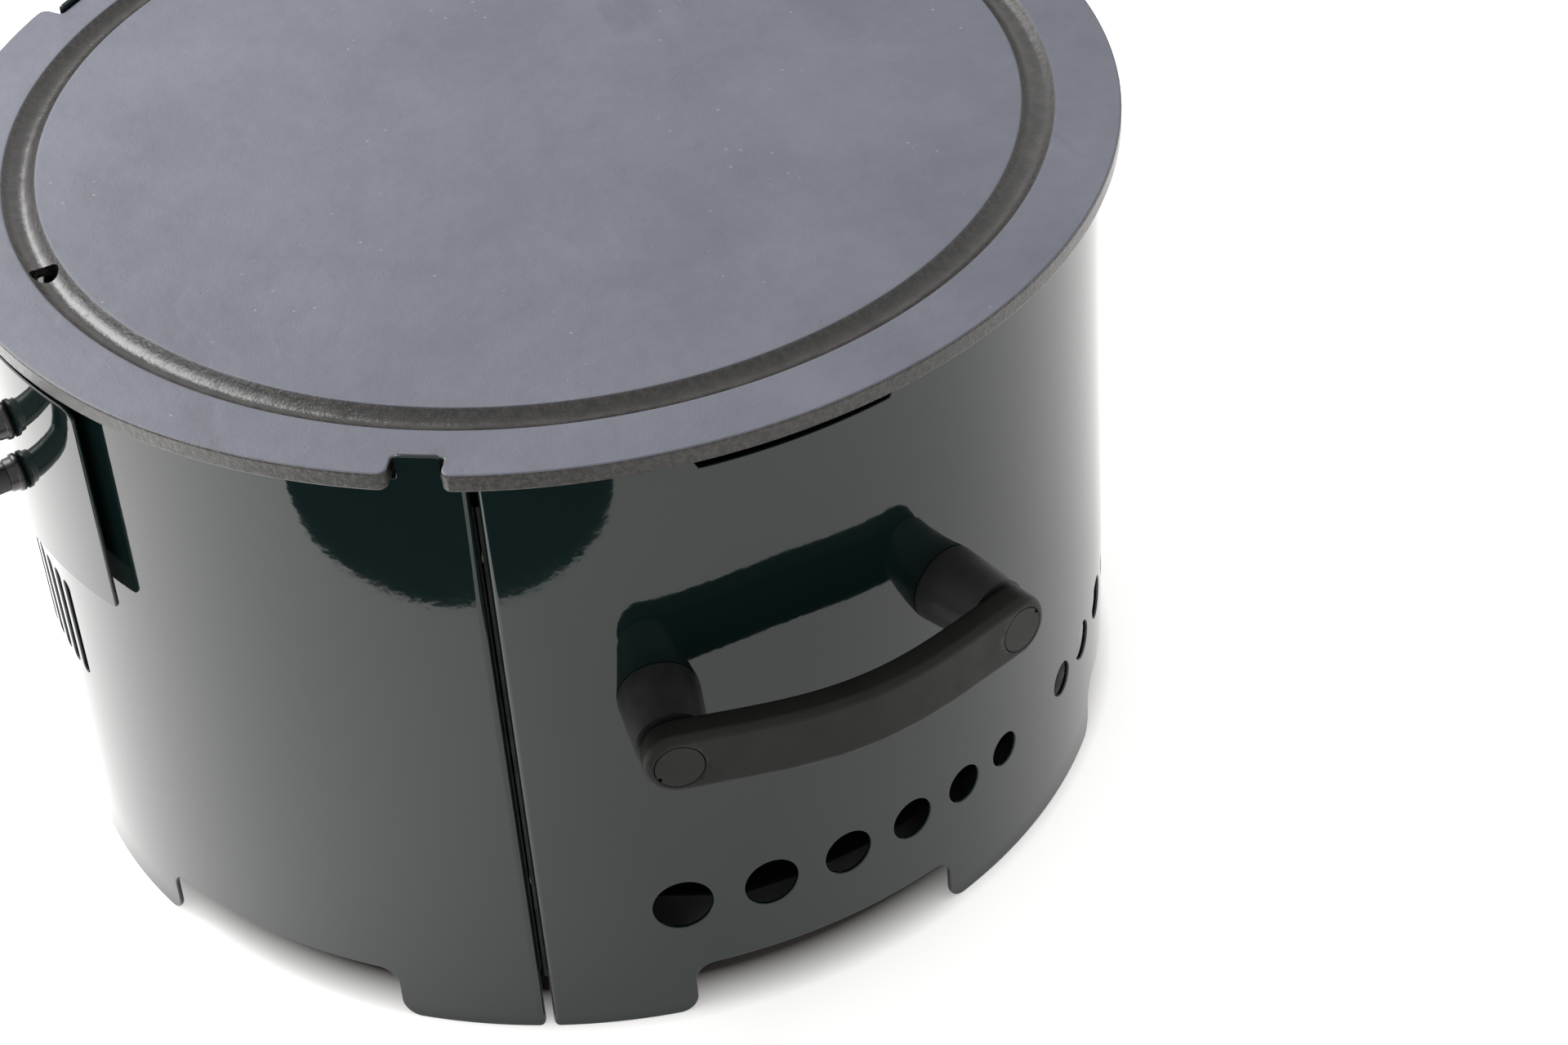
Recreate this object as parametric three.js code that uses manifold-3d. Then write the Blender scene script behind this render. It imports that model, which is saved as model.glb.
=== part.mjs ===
// Portable drum grill: a round cast-iron griddle plate on an enamelled sheet-steel drum that is bolted
// together from three curved panels, with a hinged fuel door in front and a carrying handle on each side.
// Millimetres, +Z up, standing on z = 0. The door faces -Y and the side handles lie along X.
import * as THREE from "three";
import { mergeVertices } from "three/addons/utils/BufferGeometryUtils.js";
import Module from "manifold-3d";

const wasm = await Module();
wasm.setup();

// ---------------------------------------------------------------- driving dimensions
const GAP = 0.3; // between pieces that touch
const SHEET = 2; // enamelled panel sheet

const DRUM_R = 229.5; // outer radius of the drum wall
const DRUM_TOP = 281.2; // height of the wall's top edge
const PANELS = 3; // curved panels round the drum
const SEAM_GAP = 2.8; // open gap between two panels' flanges
const FLANGE_DEPTH = 20; // how far a panel's edge flange is turned inwards
const BEND_R = 3; // outer radius of the flange bend

const FOOT_COUNT = 6; // feet cut from the wall's lower edge
const FOOT_HALF = 61; // half width of a foot, along the wall, at mid height
const FOOT_HEIGHT = 25; // height of the arches between the feet
const FOOT_FILLET = 8; // rounding at the top and bottom of each flank

const PLATE_OVERHANG = 8; // how far the griddle plate stands out past the wall
const PLATE_T = 7.5;
const PLATE_EDGE = 0.9; // chamfer round the plate's edges
const GROOVE_FROM_EDGE = 26.7; // from the plate's edge to the grease groove's outer lip
const GROOVE_WIDTH = 12.6;
const GROOVE_DEPTH = 3.6;
const DRAIN_R = 5.6; // drain hole through the groove

const TAB_WIDTH = 16.5; // locating tabs on the wall's top edge
const TAB_PROUD = 2.2; // how far a tab stands above the plate's face
const TAB_FROM_SEAM = 18; // from a seam to the middle of its tab, along the wall
const NOTCH_CLEAR = 1.25; // side clearance of a plate notch to its tab
const NOTCH_CORNER = 4; // rounding at a notch's mouth

const HOLE_COUNT = 6; // air holes in each half row
const HOLE_FIRST_D = 15.5; // diameter of the hole nearest the row's middle
const HOLE_D_STEP = 1.8; // growth in diameter from hole to hole
const HOLE_FIRST_ARC = 24.6; // from the row's middle to the first hole, along the wall
const HOLE_LAST_ARC = 58.73; // from the last hole to the seam, along the wall
const HOLE_PITCH_STEP = 2.6; // growth of the pitch from hole to hole
const HOLE_Z = 60;

const RECESS_HALF = 44; // smoke recess in the top edge above each side handle: half length
const RECESS_DEPTH = 8.6;
const RECESS_SLOPE = 5; // run of its slanted ends

const DOOR_HALF = 80; // fuel door: half width along its arc
const DOOR_HEIGHT = 95;
const DOOR_BELOW_TOP = 4.2; // from the wall's top edge to the door's
const DOOR_STANDOFF = 4.5; // from the wall to the door's inner face
const DOOR_T = 2;
const DOOR_CORNER = 6;
const DOOR_LAP = 11; // overlap of the door on its opening, each side

const PULL_AZ = -85; // azimuth of the door's pull, in degrees
const PULL_SPACING = 25; // between its two legs
const PULL_ROD = 12; // rod diameter
const PULL_REACH = 40; // from the door to the middle of the bend
const COLLAR_LIP = 1.7; // how far a collar stands out round the rod
const COLLAR_T = 6;

const HINGE_FROM_DOOR = 8.15; // from the door's edge to the hinge pin, along the door's face
const HINGE_HEIGHT = 48;
const KNUCKLE_R = 3.6;
const HINGE_PIN_R = 1.7;
const HINGE_RUN = 0.2; // radial running clearance on the pin
const LEAF_T = 1.5;
const LEAF_ARC = 30; // length of each leaf along the wall

const VENT_COUNT = 5; // upright slots below the door
const VENT_WIDTH = 6;
const VENT_HEIGHT = 48;
const VENT_BELOW_DOOR = 25;
const VENT_PITCH = 9.8;

const HANDLE_BELOW_TOP = 109.7; // from the wall's top edge to the middle of the side handles
const HANDLE_HALF = 73.18; // from a handle's middle to its posts, along the grip's face
const POST_BASE_R = 16;
const POST_TIP_R = 14.2;
const FINGER_SPACE = 28; // from the wall to the grip's inner face, at the posts
const GRIP_T = 13;
const GRIP_H = 27;
const GRIP_BOW = 5; // extra reach at the grip's middle
const GRIP_EDGE = 3; // rounding of its long edges
const CAP_R = 9.4;
const CAP_T = 2.6;
const CAP_CLEAR = 0.5;
const HANDLE_BOLT_R = 3; // M6 through grip, post and wall

const RIB_CLEAR = 0.4; // on each side of the support rib between two panels' flanges
const RIB_LOW = 20;
const RIB_BELOW_TOP = 19.2;
const RIB_SETBACK = 8.5; // from the wall's face to the rib's outer edge
const SHELF_Z = 30.7; // height of the rib's shelf for the ash pan
const SHELF_REACH = 34; // how far the shelf reaches in from the flanges
const FLANGE_LOW = 28; // the flanges stop here, above the ground
const SEAM_BOLT_LOW = 72; // height of the lower flange bolts
const SEAM_BOLT_BELOW_TOP = 45.2; // from the wall's top edge to the upper flange bolts
const SEAM_BOLT_INSET = 7; // from a flange's inner edge to its bolts
const SEAM_BOLT_R = 3;

const PAN_WALL_CLEAR = 7.5; // from the wall's inner face to the round ash pan
const PAN_FLAT_CLEAR = 4; // from a flange's inner end to the pan's flat
const PAN_H = 17.8;
const PAN_T = 1.6;
const GRATE_CLEAR = 23.5; // from the flanges' inner edges to the round charcoal grate
const GRATE_TOP = 82;
const GRATE_BAR = 6;
const GRATE_PITCH = 22;
const GRATE_LEG_R = 4;

const SCREW_HEAD = 4; // seam screws and all nuts
const NUT_T = 5;
const HEX_R = 5.6;
const HANDLE_HEAD_T = 4;
const PULL_SCREW_R = 2.5;
const RIVET_R = 1.8;
const RIVET_ARC = 21; // from the hinge pin to the rivets, along the wall
const RIVET_FROM_END = 10; // from a hinge leaf's end to its rivets

// ---------------------------------------------------------------- materials
function material(color, roughness, metalness) {
  return new THREE.MeshStandardMaterial({ color, roughness, metalness });
}
const ENAMEL = [0x1d2a2b, 0.12, 0.0];
const IRON = [0x2b2d33, 0.6, 0.3];
const PLASTIC = [0x121213, 0.55, 0.0];
const BLACK_STEEL = [0x17191a, 0.4, 0.4];
const ZINC = [0x8b8e90, 0.35, 0.9];
const SOOTED = [0x3a342e, 0.7, 0.5];

const grill = new THREE.Group();
function piece(name, solid, look) {
  const mesh = new THREE.Mesh(geometryOf(solid), material(...look));
  mesh.name = name;
  grill.add(mesh);
  return mesh;
}

// ---------------------------------------------------------------- sizes that follow from the driving ones
const rad = THREE.MathUtils.degToRad;
const arcAngle = (length, radius = DRUM_R) => (length / radius) * (180 / Math.PI);

const FRONT_AZ = -90;
const PANEL_SPAN = 360 / PANELS;
const panelAzimuth = (i) => FRONT_AZ + i * PANEL_SPAN;
const seamAzimuth = (i) => panelAzimuth(i) + PANEL_SPAN / 2;
const PLATE_R = DRUM_R + PLATE_OVERHANG;
const PLATE_LOW = DRUM_TOP + GAP;
const PLATE_HIGH = PLATE_LOW + PLATE_T;
const GROOVE_OUT = PLATE_R - GROOVE_FROM_EDGE;
const GROOVE_IN = GROOVE_OUT - GROOVE_WIDTH;
const TAB_TOP = PLATE_HIGH + TAB_PROUD;
const TAB_ANGLE = arcAngle(TAB_FROM_SEAM);
const FLANGE_END = DRUM_R - FLANGE_DEPTH;
const BOLT_REACH = FLANGE_END + SEAM_BOLT_INSET;
const SEAM_BOLT_Z = [SEAM_BOLT_LOW, DRUM_TOP - SEAM_BOLT_BELOW_TOP];
const RIB_T = SEAM_GAP - 2 * RIB_CLEAR;
const PAN_R = DRUM_R - SHEET - PAN_WALL_CLEAR;
const PAN_LOW = SHELF_Z + GAP;
const GRATE_R = FLANGE_END - GRATE_CLEAR;
const GRATE_LOW = GRATE_TOP - GRATE_BAR;

const DOOR_HIGH = DRUM_TOP - DOOR_BELOW_TOP;
const DOOR_LOW = DOOR_HIGH - DOOR_HEIGHT;
const DOOR_IN = DRUM_R + DOOR_STANDOFF;
const DOOR_OUT = DOOR_IN + DOOR_T;
const DOOR_HALF_ANGLE = arcAngle(DOOR_HALF, DOOR_OUT);
const PULL_Z = (DOOR_LOW + DOOR_HIGH) / 2;
const pullHeights = [PULL_Z - PULL_SPACING / 2, PULL_Z + PULL_SPACING / 2];
const COLLAR_D = PULL_ROD + 2 * COLLAR_LIP;
const VENT_HIGH = DOOR_LOW - VENT_BELOW_DOOR;
const VENT_LOW = VENT_HIGH - VENT_HEIGHT;

const HINGE_AZ = FRONT_AZ - DOOR_HALF_ANGLE - arcAngle(HINGE_FROM_DOOR, DOOR_OUT);
const HINGE_LOW = PULL_Z - HINGE_HEIGHT / 2;
const HINGE_HIGH = PULL_Z + HINGE_HEIGHT / 2;
const LEAF_IN = DRUM_R + GAP;
const PIN_R = (LEAF_IN + DOOR_OUT + LEAF_T + GAP) / 2; // distance of the hinge pin from the drum's axis
const rivetHeights = [HINGE_LOW + RIVET_FROM_END, HINGE_HIGH - RIVET_FROM_END];
const leafAzimuths = {
  fixed: HINGE_AZ - arcAngle(RIVET_ARC, LEAF_IN),
  moving: HINGE_AZ + arcAngle(RIVET_ARC, DOOR_OUT),
};

const GRIP_IN = DRUM_R + FINGER_SPACE;
const GRIP_OUT = GRIP_IN + GRIP_T;
const HANDLE_Z = DRUM_TOP - HANDLE_BELOW_TOP;
const HANDLE_HALF_ANGLE = arcAngle(HANDLE_HALF, GRIP_OUT);
const HANDLES = [
  { side: "right", azimuth: 0 },
  { side: "left", azimuth: 180 },
];
const postAzimuths = (handle) => [handle.azimuth - HANDLE_HALF_ANGLE, handle.azimuth + HANDLE_HALF_ANGLE];

// ---------------------------------------------------------------- solids

// A closed three.js geometry, moved by a matrix, as a solid that can be cut and joined.
function solid(geometry, matrix = new THREE.Matrix4()) {
  const bare = geometry.index ? geometry.toNonIndexed() : geometry.clone();
  bare.deleteAttribute("normal");
  bare.deleteAttribute("uv");
  bare.applyMatrix4(matrix);
  const merged = mergeVertices(bare, 1e-4);
  const corners = merged.index.array;
  const kept = [];
  // a triangle that closes on the axis of a lathe has lost a corner
  for (let i = 0; i < corners.length; i += 3) {
    const [a, b, c] = corners.slice(i, i + 3);
    if (a !== b && b !== c && c !== a) kept.push(a, b, c);
  }
  return new wasm.Manifold(
    new wasm.Mesh({
      numProp: 3,
      vertProperties: merged.attributes.position.array,
      triVerts: new Uint32Array(kept),
    }),
  );
}

function geometryOf(made) {
  const mesh = made.getMesh();
  const geometry = new THREE.BufferGeometry();
  geometry.setAttribute("position", new THREE.BufferAttribute(mesh.vertProperties, 3));
  geometry.setIndex(new THREE.BufferAttribute(mesh.triVerts, 1));
  geometry.computeVertexNormals();
  return geometry;
}

const cutAll = (body, cutters) => cutters.reduce((left, cutter) => left.subtract(cutter), body);
const joinAll = (bodies) => bodies.reduce((sum, body) => sum.add(body));

// The frame of a point on the drum: X outwards along the radius, Y along the wall, Z up.
function atWall(azimuth, radius = 0, z = 0) {
  return new THREE.Matrix4()
    .makeRotationZ(rad(azimuth))
    .multiply(new THREE.Matrix4().makeTranslation(radius, 0, z));
}

// A round bar along the radius, from one distance to another.
function radialRod(azimuth, z, from, to, radiusIn, radiusOut = radiusIn, sides = 24) {
  const rod = new THREE.CylinderGeometry(radiusOut, radiusIn, to - from, sides);
  const turn = new THREE.Matrix4().makeRotationZ(-Math.PI / 2);
  return solid(rod, atWall(azimuth, (from + to) / 2, z).multiply(turn));
}

// A flat outline, drawn along the wall (x) and upwards (y), pushed through along the radius.
function radialCut(outline, azimuth, from, to, segments = 3) {
  const slab = new THREE.ExtrudeGeometry(outline, {
    depth: to - from,
    bevelEnabled: false,
    curveSegments: segments,
  });
  const stand = new THREE.Matrix4().set(0, 0, 1, 0, 1, 0, 0, 0, 0, 1, 0, 0, 0, 0, 0, 1);
  return solid(slab, atWall(azimuth, from).multiply(stand));
}

// A sector of a ring between two radii and two azimuths, standing from z = low to z = high.
function sector(inner, outer, fromAz, toAz, low, high, stepDegrees = 3) {
  const steps = Math.max(2, Math.ceil((toAz - fromAz) / stepDegrees));
  const points = [];
  for (let i = 0; i <= steps; i++) {
    const a = rad(fromAz + ((toAz - fromAz) * i) / steps);
    points.push(new THREE.Vector2(outer * Math.cos(a), outer * Math.sin(a)));
  }
  for (let i = steps; i >= 0; i--) {
    const a = rad(fromAz + ((toAz - fromAz) * i) / steps);
    points.push(new THREE.Vector2(inner * Math.cos(a), inner * Math.sin(a)));
  }
  const slab = new THREE.ExtrudeGeometry(new THREE.Shape(points), { depth: high - low, bevelEnabled: false });
  return solid(slab, new THREE.Matrix4().makeTranslation(0, 0, low));
}

// A lathe body about the drum's axis from a closed list of [radius, z].
function turned(profile, segments = 96) {
  const points = profile.map(([r, z]) => new THREE.Vector2(r, z));
  const lathe = new THREE.LatheGeometry(points, segments);
  return solid(lathe, new THREE.Matrix4().makeRotationX(Math.PI / 2));
}

function roundedRect(x0, y0, x1, y1, r) {
  const s = new THREE.Shape();
  s.moveTo(x0 + r, y0);
  s.lineTo(x1 - r, y0);
  s.absarc(x1 - r, y0 + r, r, -Math.PI / 2, 0);
  s.lineTo(x1, y1 - r);
  s.absarc(x1 - r, y1 - r, r, 0, Math.PI / 2);
  s.lineTo(x0 + r, y1);
  s.absarc(x0 + r, y1 - r, r, Math.PI / 2, Math.PI);
  s.lineTo(x0, y0 + r);
  s.absarc(x0 + r, y0 + r, r, Math.PI, 1.5 * Math.PI);
  return s;
}

// ---------------------------------------------------------------- drum panels
const PANEL_STEPS = 30; // straight steps in a panel's curve

// The plan of a panel: a curved wall whose two ends turn inwards as flanges beside the seams.
function panelPlan(azimuth, low, high) {
  const half = rad(PANEL_SPAN / 2);
  const set = SEAM_GAP / 2;
  const bendCentre = DRUM_R - BEND_R;
  const bendAngle = half - Math.asin((set + BEND_R) / bendCentre);
  const outline = [];
  const ring = (radius, from, to, steps) => {
    for (let i = 0; i <= steps; i++) {
      const a = from + ((to - from) * i) / steps;
      outline.push(new THREE.Vector2(radius * Math.cos(a), radius * Math.sin(a)));
    }
  };
  // side is +1 at the anticlockwise end; along and inward are the seam's own directions
  const corner = (side, reach, offset) => {
    const a = side * half;
    const x = reach * Math.cos(a) + side * offset * Math.sin(a);
    const y = reach * Math.sin(a) - side * offset * Math.cos(a);
    return new THREE.Vector2(x, y);
  };
  const bend = (side, radius, outwards) => {
    const cx = bendCentre * Math.cos(side * bendAngle);
    const cy = bendCentre * Math.sin(side * bendAngle);
    const points = [];
    for (let i = 0; i <= 4; i++) {
      const a = side * (bendAngle + (i / 4) * (Math.PI / 2 + half - bendAngle));
      points.push(new THREE.Vector2(cx + radius * Math.cos(a), cy + radius * Math.sin(a)));
    }
    return outwards ? points : points.reverse();
  };
  ring(DRUM_R, -bendAngle, bendAngle, PANEL_STEPS);
  outline.push(...bend(1, BEND_R, true).slice(1));
  outline.push(corner(1, FLANGE_END, set), corner(1, FLANGE_END, set + SHEET));
  outline.push(...bend(1, BEND_R - SHEET, false));
  ring(DRUM_R - SHEET, bendAngle, -bendAngle, PANEL_STEPS);
  outline.push(...bend(-1, BEND_R - SHEET, true).slice(1));
  outline.push(corner(-1, FLANGE_END, set + SHEET), corner(-1, FLANGE_END, set));
  outline.push(...bend(-1, BEND_R, false).slice(0, -1));
  const tidy = outline.filter((p, i) => i === 0 || p.distanceTo(outline[i - 1]) > 1e-3);
  const wall = new THREE.ExtrudeGeometry(new THREE.Shape(tidy), { depth: high - low, bevelEnabled: false });
  return solid(wall, atWall(azimuth, 0, low));
}

// The arch between two feet: flat on top, with each flank an S of two equal fillets.
function archOutline(halfSpan) {
  const top = FOOT_HEIGHT;
  const r = FOOT_FILLET;
  const s = new THREE.Shape();
  s.moveTo(-halfSpan - r, -5);
  s.lineTo(-halfSpan - r, 0);
  s.absarc(-halfSpan - r, r, r, -Math.PI / 2, 0);
  s.lineTo(-halfSpan, top - r);
  s.absarc(-halfSpan + r, top - r, r, Math.PI, Math.PI / 2, true);
  s.lineTo(halfSpan - r, top);
  s.absarc(halfSpan - r, top - r, r, Math.PI / 2, 0, true);
  s.lineTo(halfSpan, r);
  s.absarc(halfSpan + r, r, r, Math.PI, 1.5 * Math.PI);
  s.lineTo(halfSpan + r, -5);
  return s;
}

const archSpan = (2 * Math.PI * DRUM_R) / FOOT_COUNT / 2 - FOOT_HALF;
function archCut(azimuth) {
  return radialCut(archOutline(archSpan), azimuth, DRUM_R - 3 * FLANGE_DEPTH, DRUM_R + 10);
}

// The foot's arches lie midway between the feet; one foot stands in the middle of each panel.
function footArches(panel) {
  const step = 360 / FOOT_COUNT;
  return [-step / 2, step / 2].map((turn) => archCut(panelAzimuth(panel) + turn));
}

// Everything of the wall above its top edge is cut away but the tabs.
function topCut(panel, tabOffsets) {
  const half = PANEL_SPAN / 2 + 2;
  const tabHalf = arcAngle(TAB_WIDTH / 2);
  const stops = [-half];
  for (const t of [...tabOffsets].sort((a, b) => a - b)) stops.push(t - tabHalf, t + tabHalf);
  stops.push(half);
  const cuts = [];
  for (let i = 0; i < stops.length; i += 2) {
    const from = panelAzimuth(panel) + stops[i];
    const to = panelAzimuth(panel) + stops[i + 1];
    cuts.push(sector(DRUM_R - 2 * FLANGE_DEPTH, DRUM_R + 5, from, to, DRUM_TOP, TAB_TOP + 5, 8));
  }
  return cuts;
}

function recessCut(azimuth) {
  const low = DRUM_TOP - RECESS_DEPTH;
  const s = new THREE.Shape();
  s.moveTo(-RECESS_HALF, DRUM_TOP + 3);
  s.lineTo(-RECESS_HALF, DRUM_TOP);
  s.lineTo(-RECESS_HALF + RECESS_SLOPE, low);
  s.lineTo(RECESS_HALF - RECESS_SLOPE, low);
  s.lineTo(RECESS_HALF, DRUM_TOP);
  s.lineTo(RECESS_HALF, DRUM_TOP + 3);
  return radialCut(s, azimuth, DRUM_R - 3 * SHEET, DRUM_R + 5);
}

// Air holes that grow away from the middle of the panel, in two mirrored half rows.
function airHoles(panel) {
  const cuts = [];
  const pitches = HOLE_COUNT - 1;
  const run = DRUM_R * rad(PANEL_SPAN / 2) - HOLE_FIRST_ARC - HOLE_LAST_ARC;
  const pitch = run / pitches - (HOLE_PITCH_STEP * (pitches - 1)) / 2;
  let arc = HOLE_FIRST_ARC;
  for (let i = 0; i < HOLE_COUNT; i++) {
    const r = (HOLE_FIRST_D + HOLE_D_STEP * i) / 2;
    for (const side of [-1, 1]) {
      const azimuth = panelAzimuth(panel) + side * arcAngle(arc);
      cuts.push(radialRod(azimuth, HOLE_Z, DRUM_R - 4 * SHEET, DRUM_R + 5, r, r, 16));
    }
    arc += pitch + HOLE_PITCH_STEP * i;
  }
  return cuts;
}

function ventSlots() {
  const cuts = [];
  for (let i = 0; i < VENT_COUNT; i++) {
    const azimuth = FRONT_AZ + arcAngle((i - (VENT_COUNT - 1) / 2) * VENT_PITCH);
    const outline = roundedRect(-VENT_WIDTH / 2, VENT_LOW, VENT_WIDTH / 2, VENT_HIGH, VENT_WIDTH / 2 - 0.01);
    cuts.push(radialCut(outline, azimuth, DRUM_R - 4 * SHEET, DRUM_R + 5, 2));
  }
  return cuts;
}

function boltHole(azimuth, z, radius, from, to) {
  return radialRod(azimuth, z, from, to, radius + GAP, radius + GAP, 12);
}

// A hole across the seam, through both flanges and the rib between them.
function seamBore(seam, z) {
  const bore = new THREE.CylinderGeometry(SEAM_BOLT_R + GAP, SEAM_BOLT_R + GAP, 40, 12);
  return solid(bore, atWall(seamAzimuth(seam), BOLT_REACH, z));
}

function doorOpening() {
  const half = (DOOR_HALF - DOOR_LAP) * (DRUM_R / DOOR_IN);
  const outline = roundedRect(-half, DOOR_LOW + DOOR_LAP, half, DOOR_HIGH - DOOR_LAP, DOOR_CORNER);
  return radialCut(outline, FRONT_AZ, DRUM_R - 30, DRUM_R + 5);
}

function drumPanel(index, name, tabOffsets) {
  let body = panelPlan(panelAzimuth(index), 0, TAB_TOP);
  body = cutAll(body, topCut(index, tabOffsets));
  body = cutAll(body, footArches(index));
  if (index === 0) {
    body = body.subtract(doorOpening());
    body = cutAll(body, ventSlots());
    body = cutAll(
      body,
      rivetHeights.map((z) => boltHole(leafAzimuths.fixed, z, RIVET_R, DRUM_R - 6, DRUM_R + 5)),
    );
  } else {
    body = cutAll(body, airHoles(index));
  }
  for (const handle of HANDLES) {
    body = body.subtract(recessCut(handle.azimuth));
    for (const azimuth of postAzimuths(handle)) {
      body = body.subtract(boltHole(azimuth, HANDLE_Z, HANDLE_BOLT_R, DRUM_R - 6, DRUM_R + 5));
    }
  }
  for (const seam of [index, index + PANELS - 1].map((s) => s % PANELS)) {
    body = cutAll(
      body,
      SEAM_BOLT_Z.map((z) => seamBore(seam, z)),
    );
    body = body.subtract(flangeFoot(seam));
  }
  piece(name, body, ENAMEL);
}

// The flanges stop above the feet, so that only the rounded wall edge runs down to the ground.
function flangeFoot(seam) {
  const block = new THREE.BoxGeometry(2 * FLANGE_DEPTH, 4 * (SEAM_GAP / 2 + SHEET), 2 * FLANGE_LOW);
  return solid(block, atWall(seamAzimuth(seam), DRUM_R - BEND_R - FLANGE_DEPTH));
}

const tabEdge = PANEL_SPAN / 2 - TAB_ANGLE;
drumPanel(0, "front_panel", [-tabEdge, tabEdge]);
drumPanel(1, "right_panel", [tabEdge]);
drumPanel(2, "left_panel", [-tabEdge]);

// ---------------------------------------------------------------- seam ribs and their bolts
// A radial rib between two flanges, with a shelf at its foot that carries the ash pan.
function seamRib(seam) {
  const outer = DRUM_R - RIB_SETBACK;
  const high = DRUM_TOP - RIB_BELOW_TOP;
  const s = new THREE.Shape();
  s.moveTo(FLANGE_END - SHELF_REACH, RIB_LOW);
  s.lineTo(outer, RIB_LOW);
  s.lineTo(outer, high);
  s.lineTo(FLANGE_END, high);
  s.lineTo(FLANGE_END, SHELF_Z);
  s.lineTo(FLANGE_END - SHELF_REACH, SHELF_Z);
  const slab = new THREE.ExtrudeGeometry(s, { depth: RIB_T, bevelEnabled: false });
  const stand = new THREE.Matrix4().set(1, 0, 0, 0, 0, 0, -1, RIB_T / 2, 0, 1, 0, 0, 0, 0, 0, 1);
  const body = solid(slab, atWall(seamAzimuth(seam)).multiply(stand));
  return cutAll(
    body,
    SEAM_BOLT_Z.map((z) => seamBore(seam, z)),
  );
}

// A hexagon-headed screw or its nut, along the seam's cross direction.
function acrossSeam(seam, z, parts) {
  return joinAll(
    parts.map(([radius, from, to, sides]) => {
      const disc = new THREE.CylinderGeometry(radius, radius, to - from, sides);
      const place = atWall(seamAzimuth(seam), BOLT_REACH, z);
      return solid(disc, place.multiply(new THREE.Matrix4().makeTranslation(0, (from + to) / 2, 0)));
    }),
  );
}

const FLANGE_FACE = SEAM_GAP / 2 + SHEET + GAP; // where a bolt head or nut bears
for (let seam = 0; seam < PANELS; seam++) {
  piece("seam_rib_" + (seam + 1), seamRib(seam), SOOTED);
  SEAM_BOLT_Z.forEach((z, k) => {
    const tag = "_" + (seam + 1) + (k ? "_upper" : "_lower");
    const tip = FLANGE_FACE + NUT_T + 2;
    const screw = acrossSeam(seam, z, [
      [SEAM_BOLT_R, -FLANGE_FACE - 0.1, tip, 12],
      [HEX_R, -FLANGE_FACE - SCREW_HEAD, -FLANGE_FACE, 6],
    ]);
    const nut = acrossSeam(seam, z, [[HEX_R, FLANGE_FACE, FLANGE_FACE + NUT_T, 6]]);
    const thread = acrossSeam(seam, z, [[SEAM_BOLT_R + GAP / 2, 0, tip + 1, 12]]);
    piece("seam_screw" + tag, screw, ZINC);
    piece("seam_nut" + tag, nut.subtract(thread), ZINC);
  });
}

// ---------------------------------------------------------------- griddle plate
function grooveProfile() {
  const radius = GROOVE_WIDTH ** 2 / 8 / GROOVE_DEPTH + GROOVE_DEPTH / 2;
  const mid = (GROOVE_IN + GROOVE_OUT) / 2;
  const centreZ = PLATE_HIGH - GROOVE_DEPTH + radius;
  const half = Math.asin(GROOVE_WIDTH / 2 / radius);
  const points = [];
  for (let i = 0; i <= 4; i++) {
    const a = -half + (2 * half * i) / 4;
    points.push([mid - radius * Math.sin(a), centreZ - radius * Math.cos(a)]);
  }
  return points; // from the outer lip to the inner one
}

// A notch in the plate's rim: square at its inner end, with the mouth's corners rounded outwards.
function notchCut(azimuth, tabsHalf) {
  const half = tabsHalf + NOTCH_CLEAR;
  const floor = Math.sqrt((DRUM_R - SHEET) ** 2 - tabsHalf ** 2) - 2 * GAP;
  const mouth = Math.sqrt(PLATE_R * PLATE_R - (half + NOTCH_CORNER) ** 2);
  const s = new THREE.Shape();
  s.moveTo(floor, -half + 1);
  s.lineTo(floor + 1, -half);
  s.lineTo(mouth - NOTCH_CORNER, -half);
  s.absarc(mouth - NOTCH_CORNER, -half - NOTCH_CORNER, NOTCH_CORNER, Math.PI / 2, 0, true);
  s.lineTo(mouth + 8, -half - NOTCH_CORNER);
  s.lineTo(mouth + 8, half + NOTCH_CORNER);
  s.lineTo(mouth, half + NOTCH_CORNER);
  s.absarc(mouth - NOTCH_CORNER, half + NOTCH_CORNER, NOTCH_CORNER, 0, -Math.PI / 2, true);
  s.lineTo(floor + 1, half);
  s.lineTo(floor, half - 1);
  const block = new THREE.ExtrudeGeometry(s, { depth: PLATE_T + 4, bevelEnabled: false, curveSegments: 4 });
  return solid(block, atWall(azimuth, 0, PLATE_LOW - 2));
}

function griddlePlate() {
  const body = turned([
    [0, PLATE_LOW],
    [PLATE_R - PLATE_EDGE, PLATE_LOW],
    [PLATE_R, PLATE_LOW + PLATE_EDGE],
    [PLATE_R, PLATE_HIGH - PLATE_EDGE],
    [PLATE_R - PLATE_EDGE, PLATE_HIGH],
    ...grooveProfile(),
    [0, PLATE_HIGH],
  ]);
  const drain = new THREE.CylinderGeometry(DRAIN_R, DRAIN_R, 3 * PLATE_T, 20);
  const upright = new THREE.Matrix4().makeRotationX(Math.PI / 2);
  const place = atWall(FRONT_AZ, (GROOVE_IN + GROOVE_OUT) / 2, PLATE_LOW).multiply(upright);
  // each front tab has its own notch, and the two tabs beside the rear seam share one
  const pairHalf = DRUM_R * Math.sin(rad(TAB_ANGLE)) + TAB_WIDTH / 2;
  const notches = [
    notchCut(FRONT_AZ - tabEdge, TAB_WIDTH / 2),
    notchCut(FRONT_AZ + tabEdge, TAB_WIDTH / 2),
    notchCut(FRONT_AZ + 180, pairHalf),
  ];
  return cutAll(body, [solid(drain, place), ...notches]);
}
piece("griddle_plate", griddlePlate(), IRON);

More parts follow.
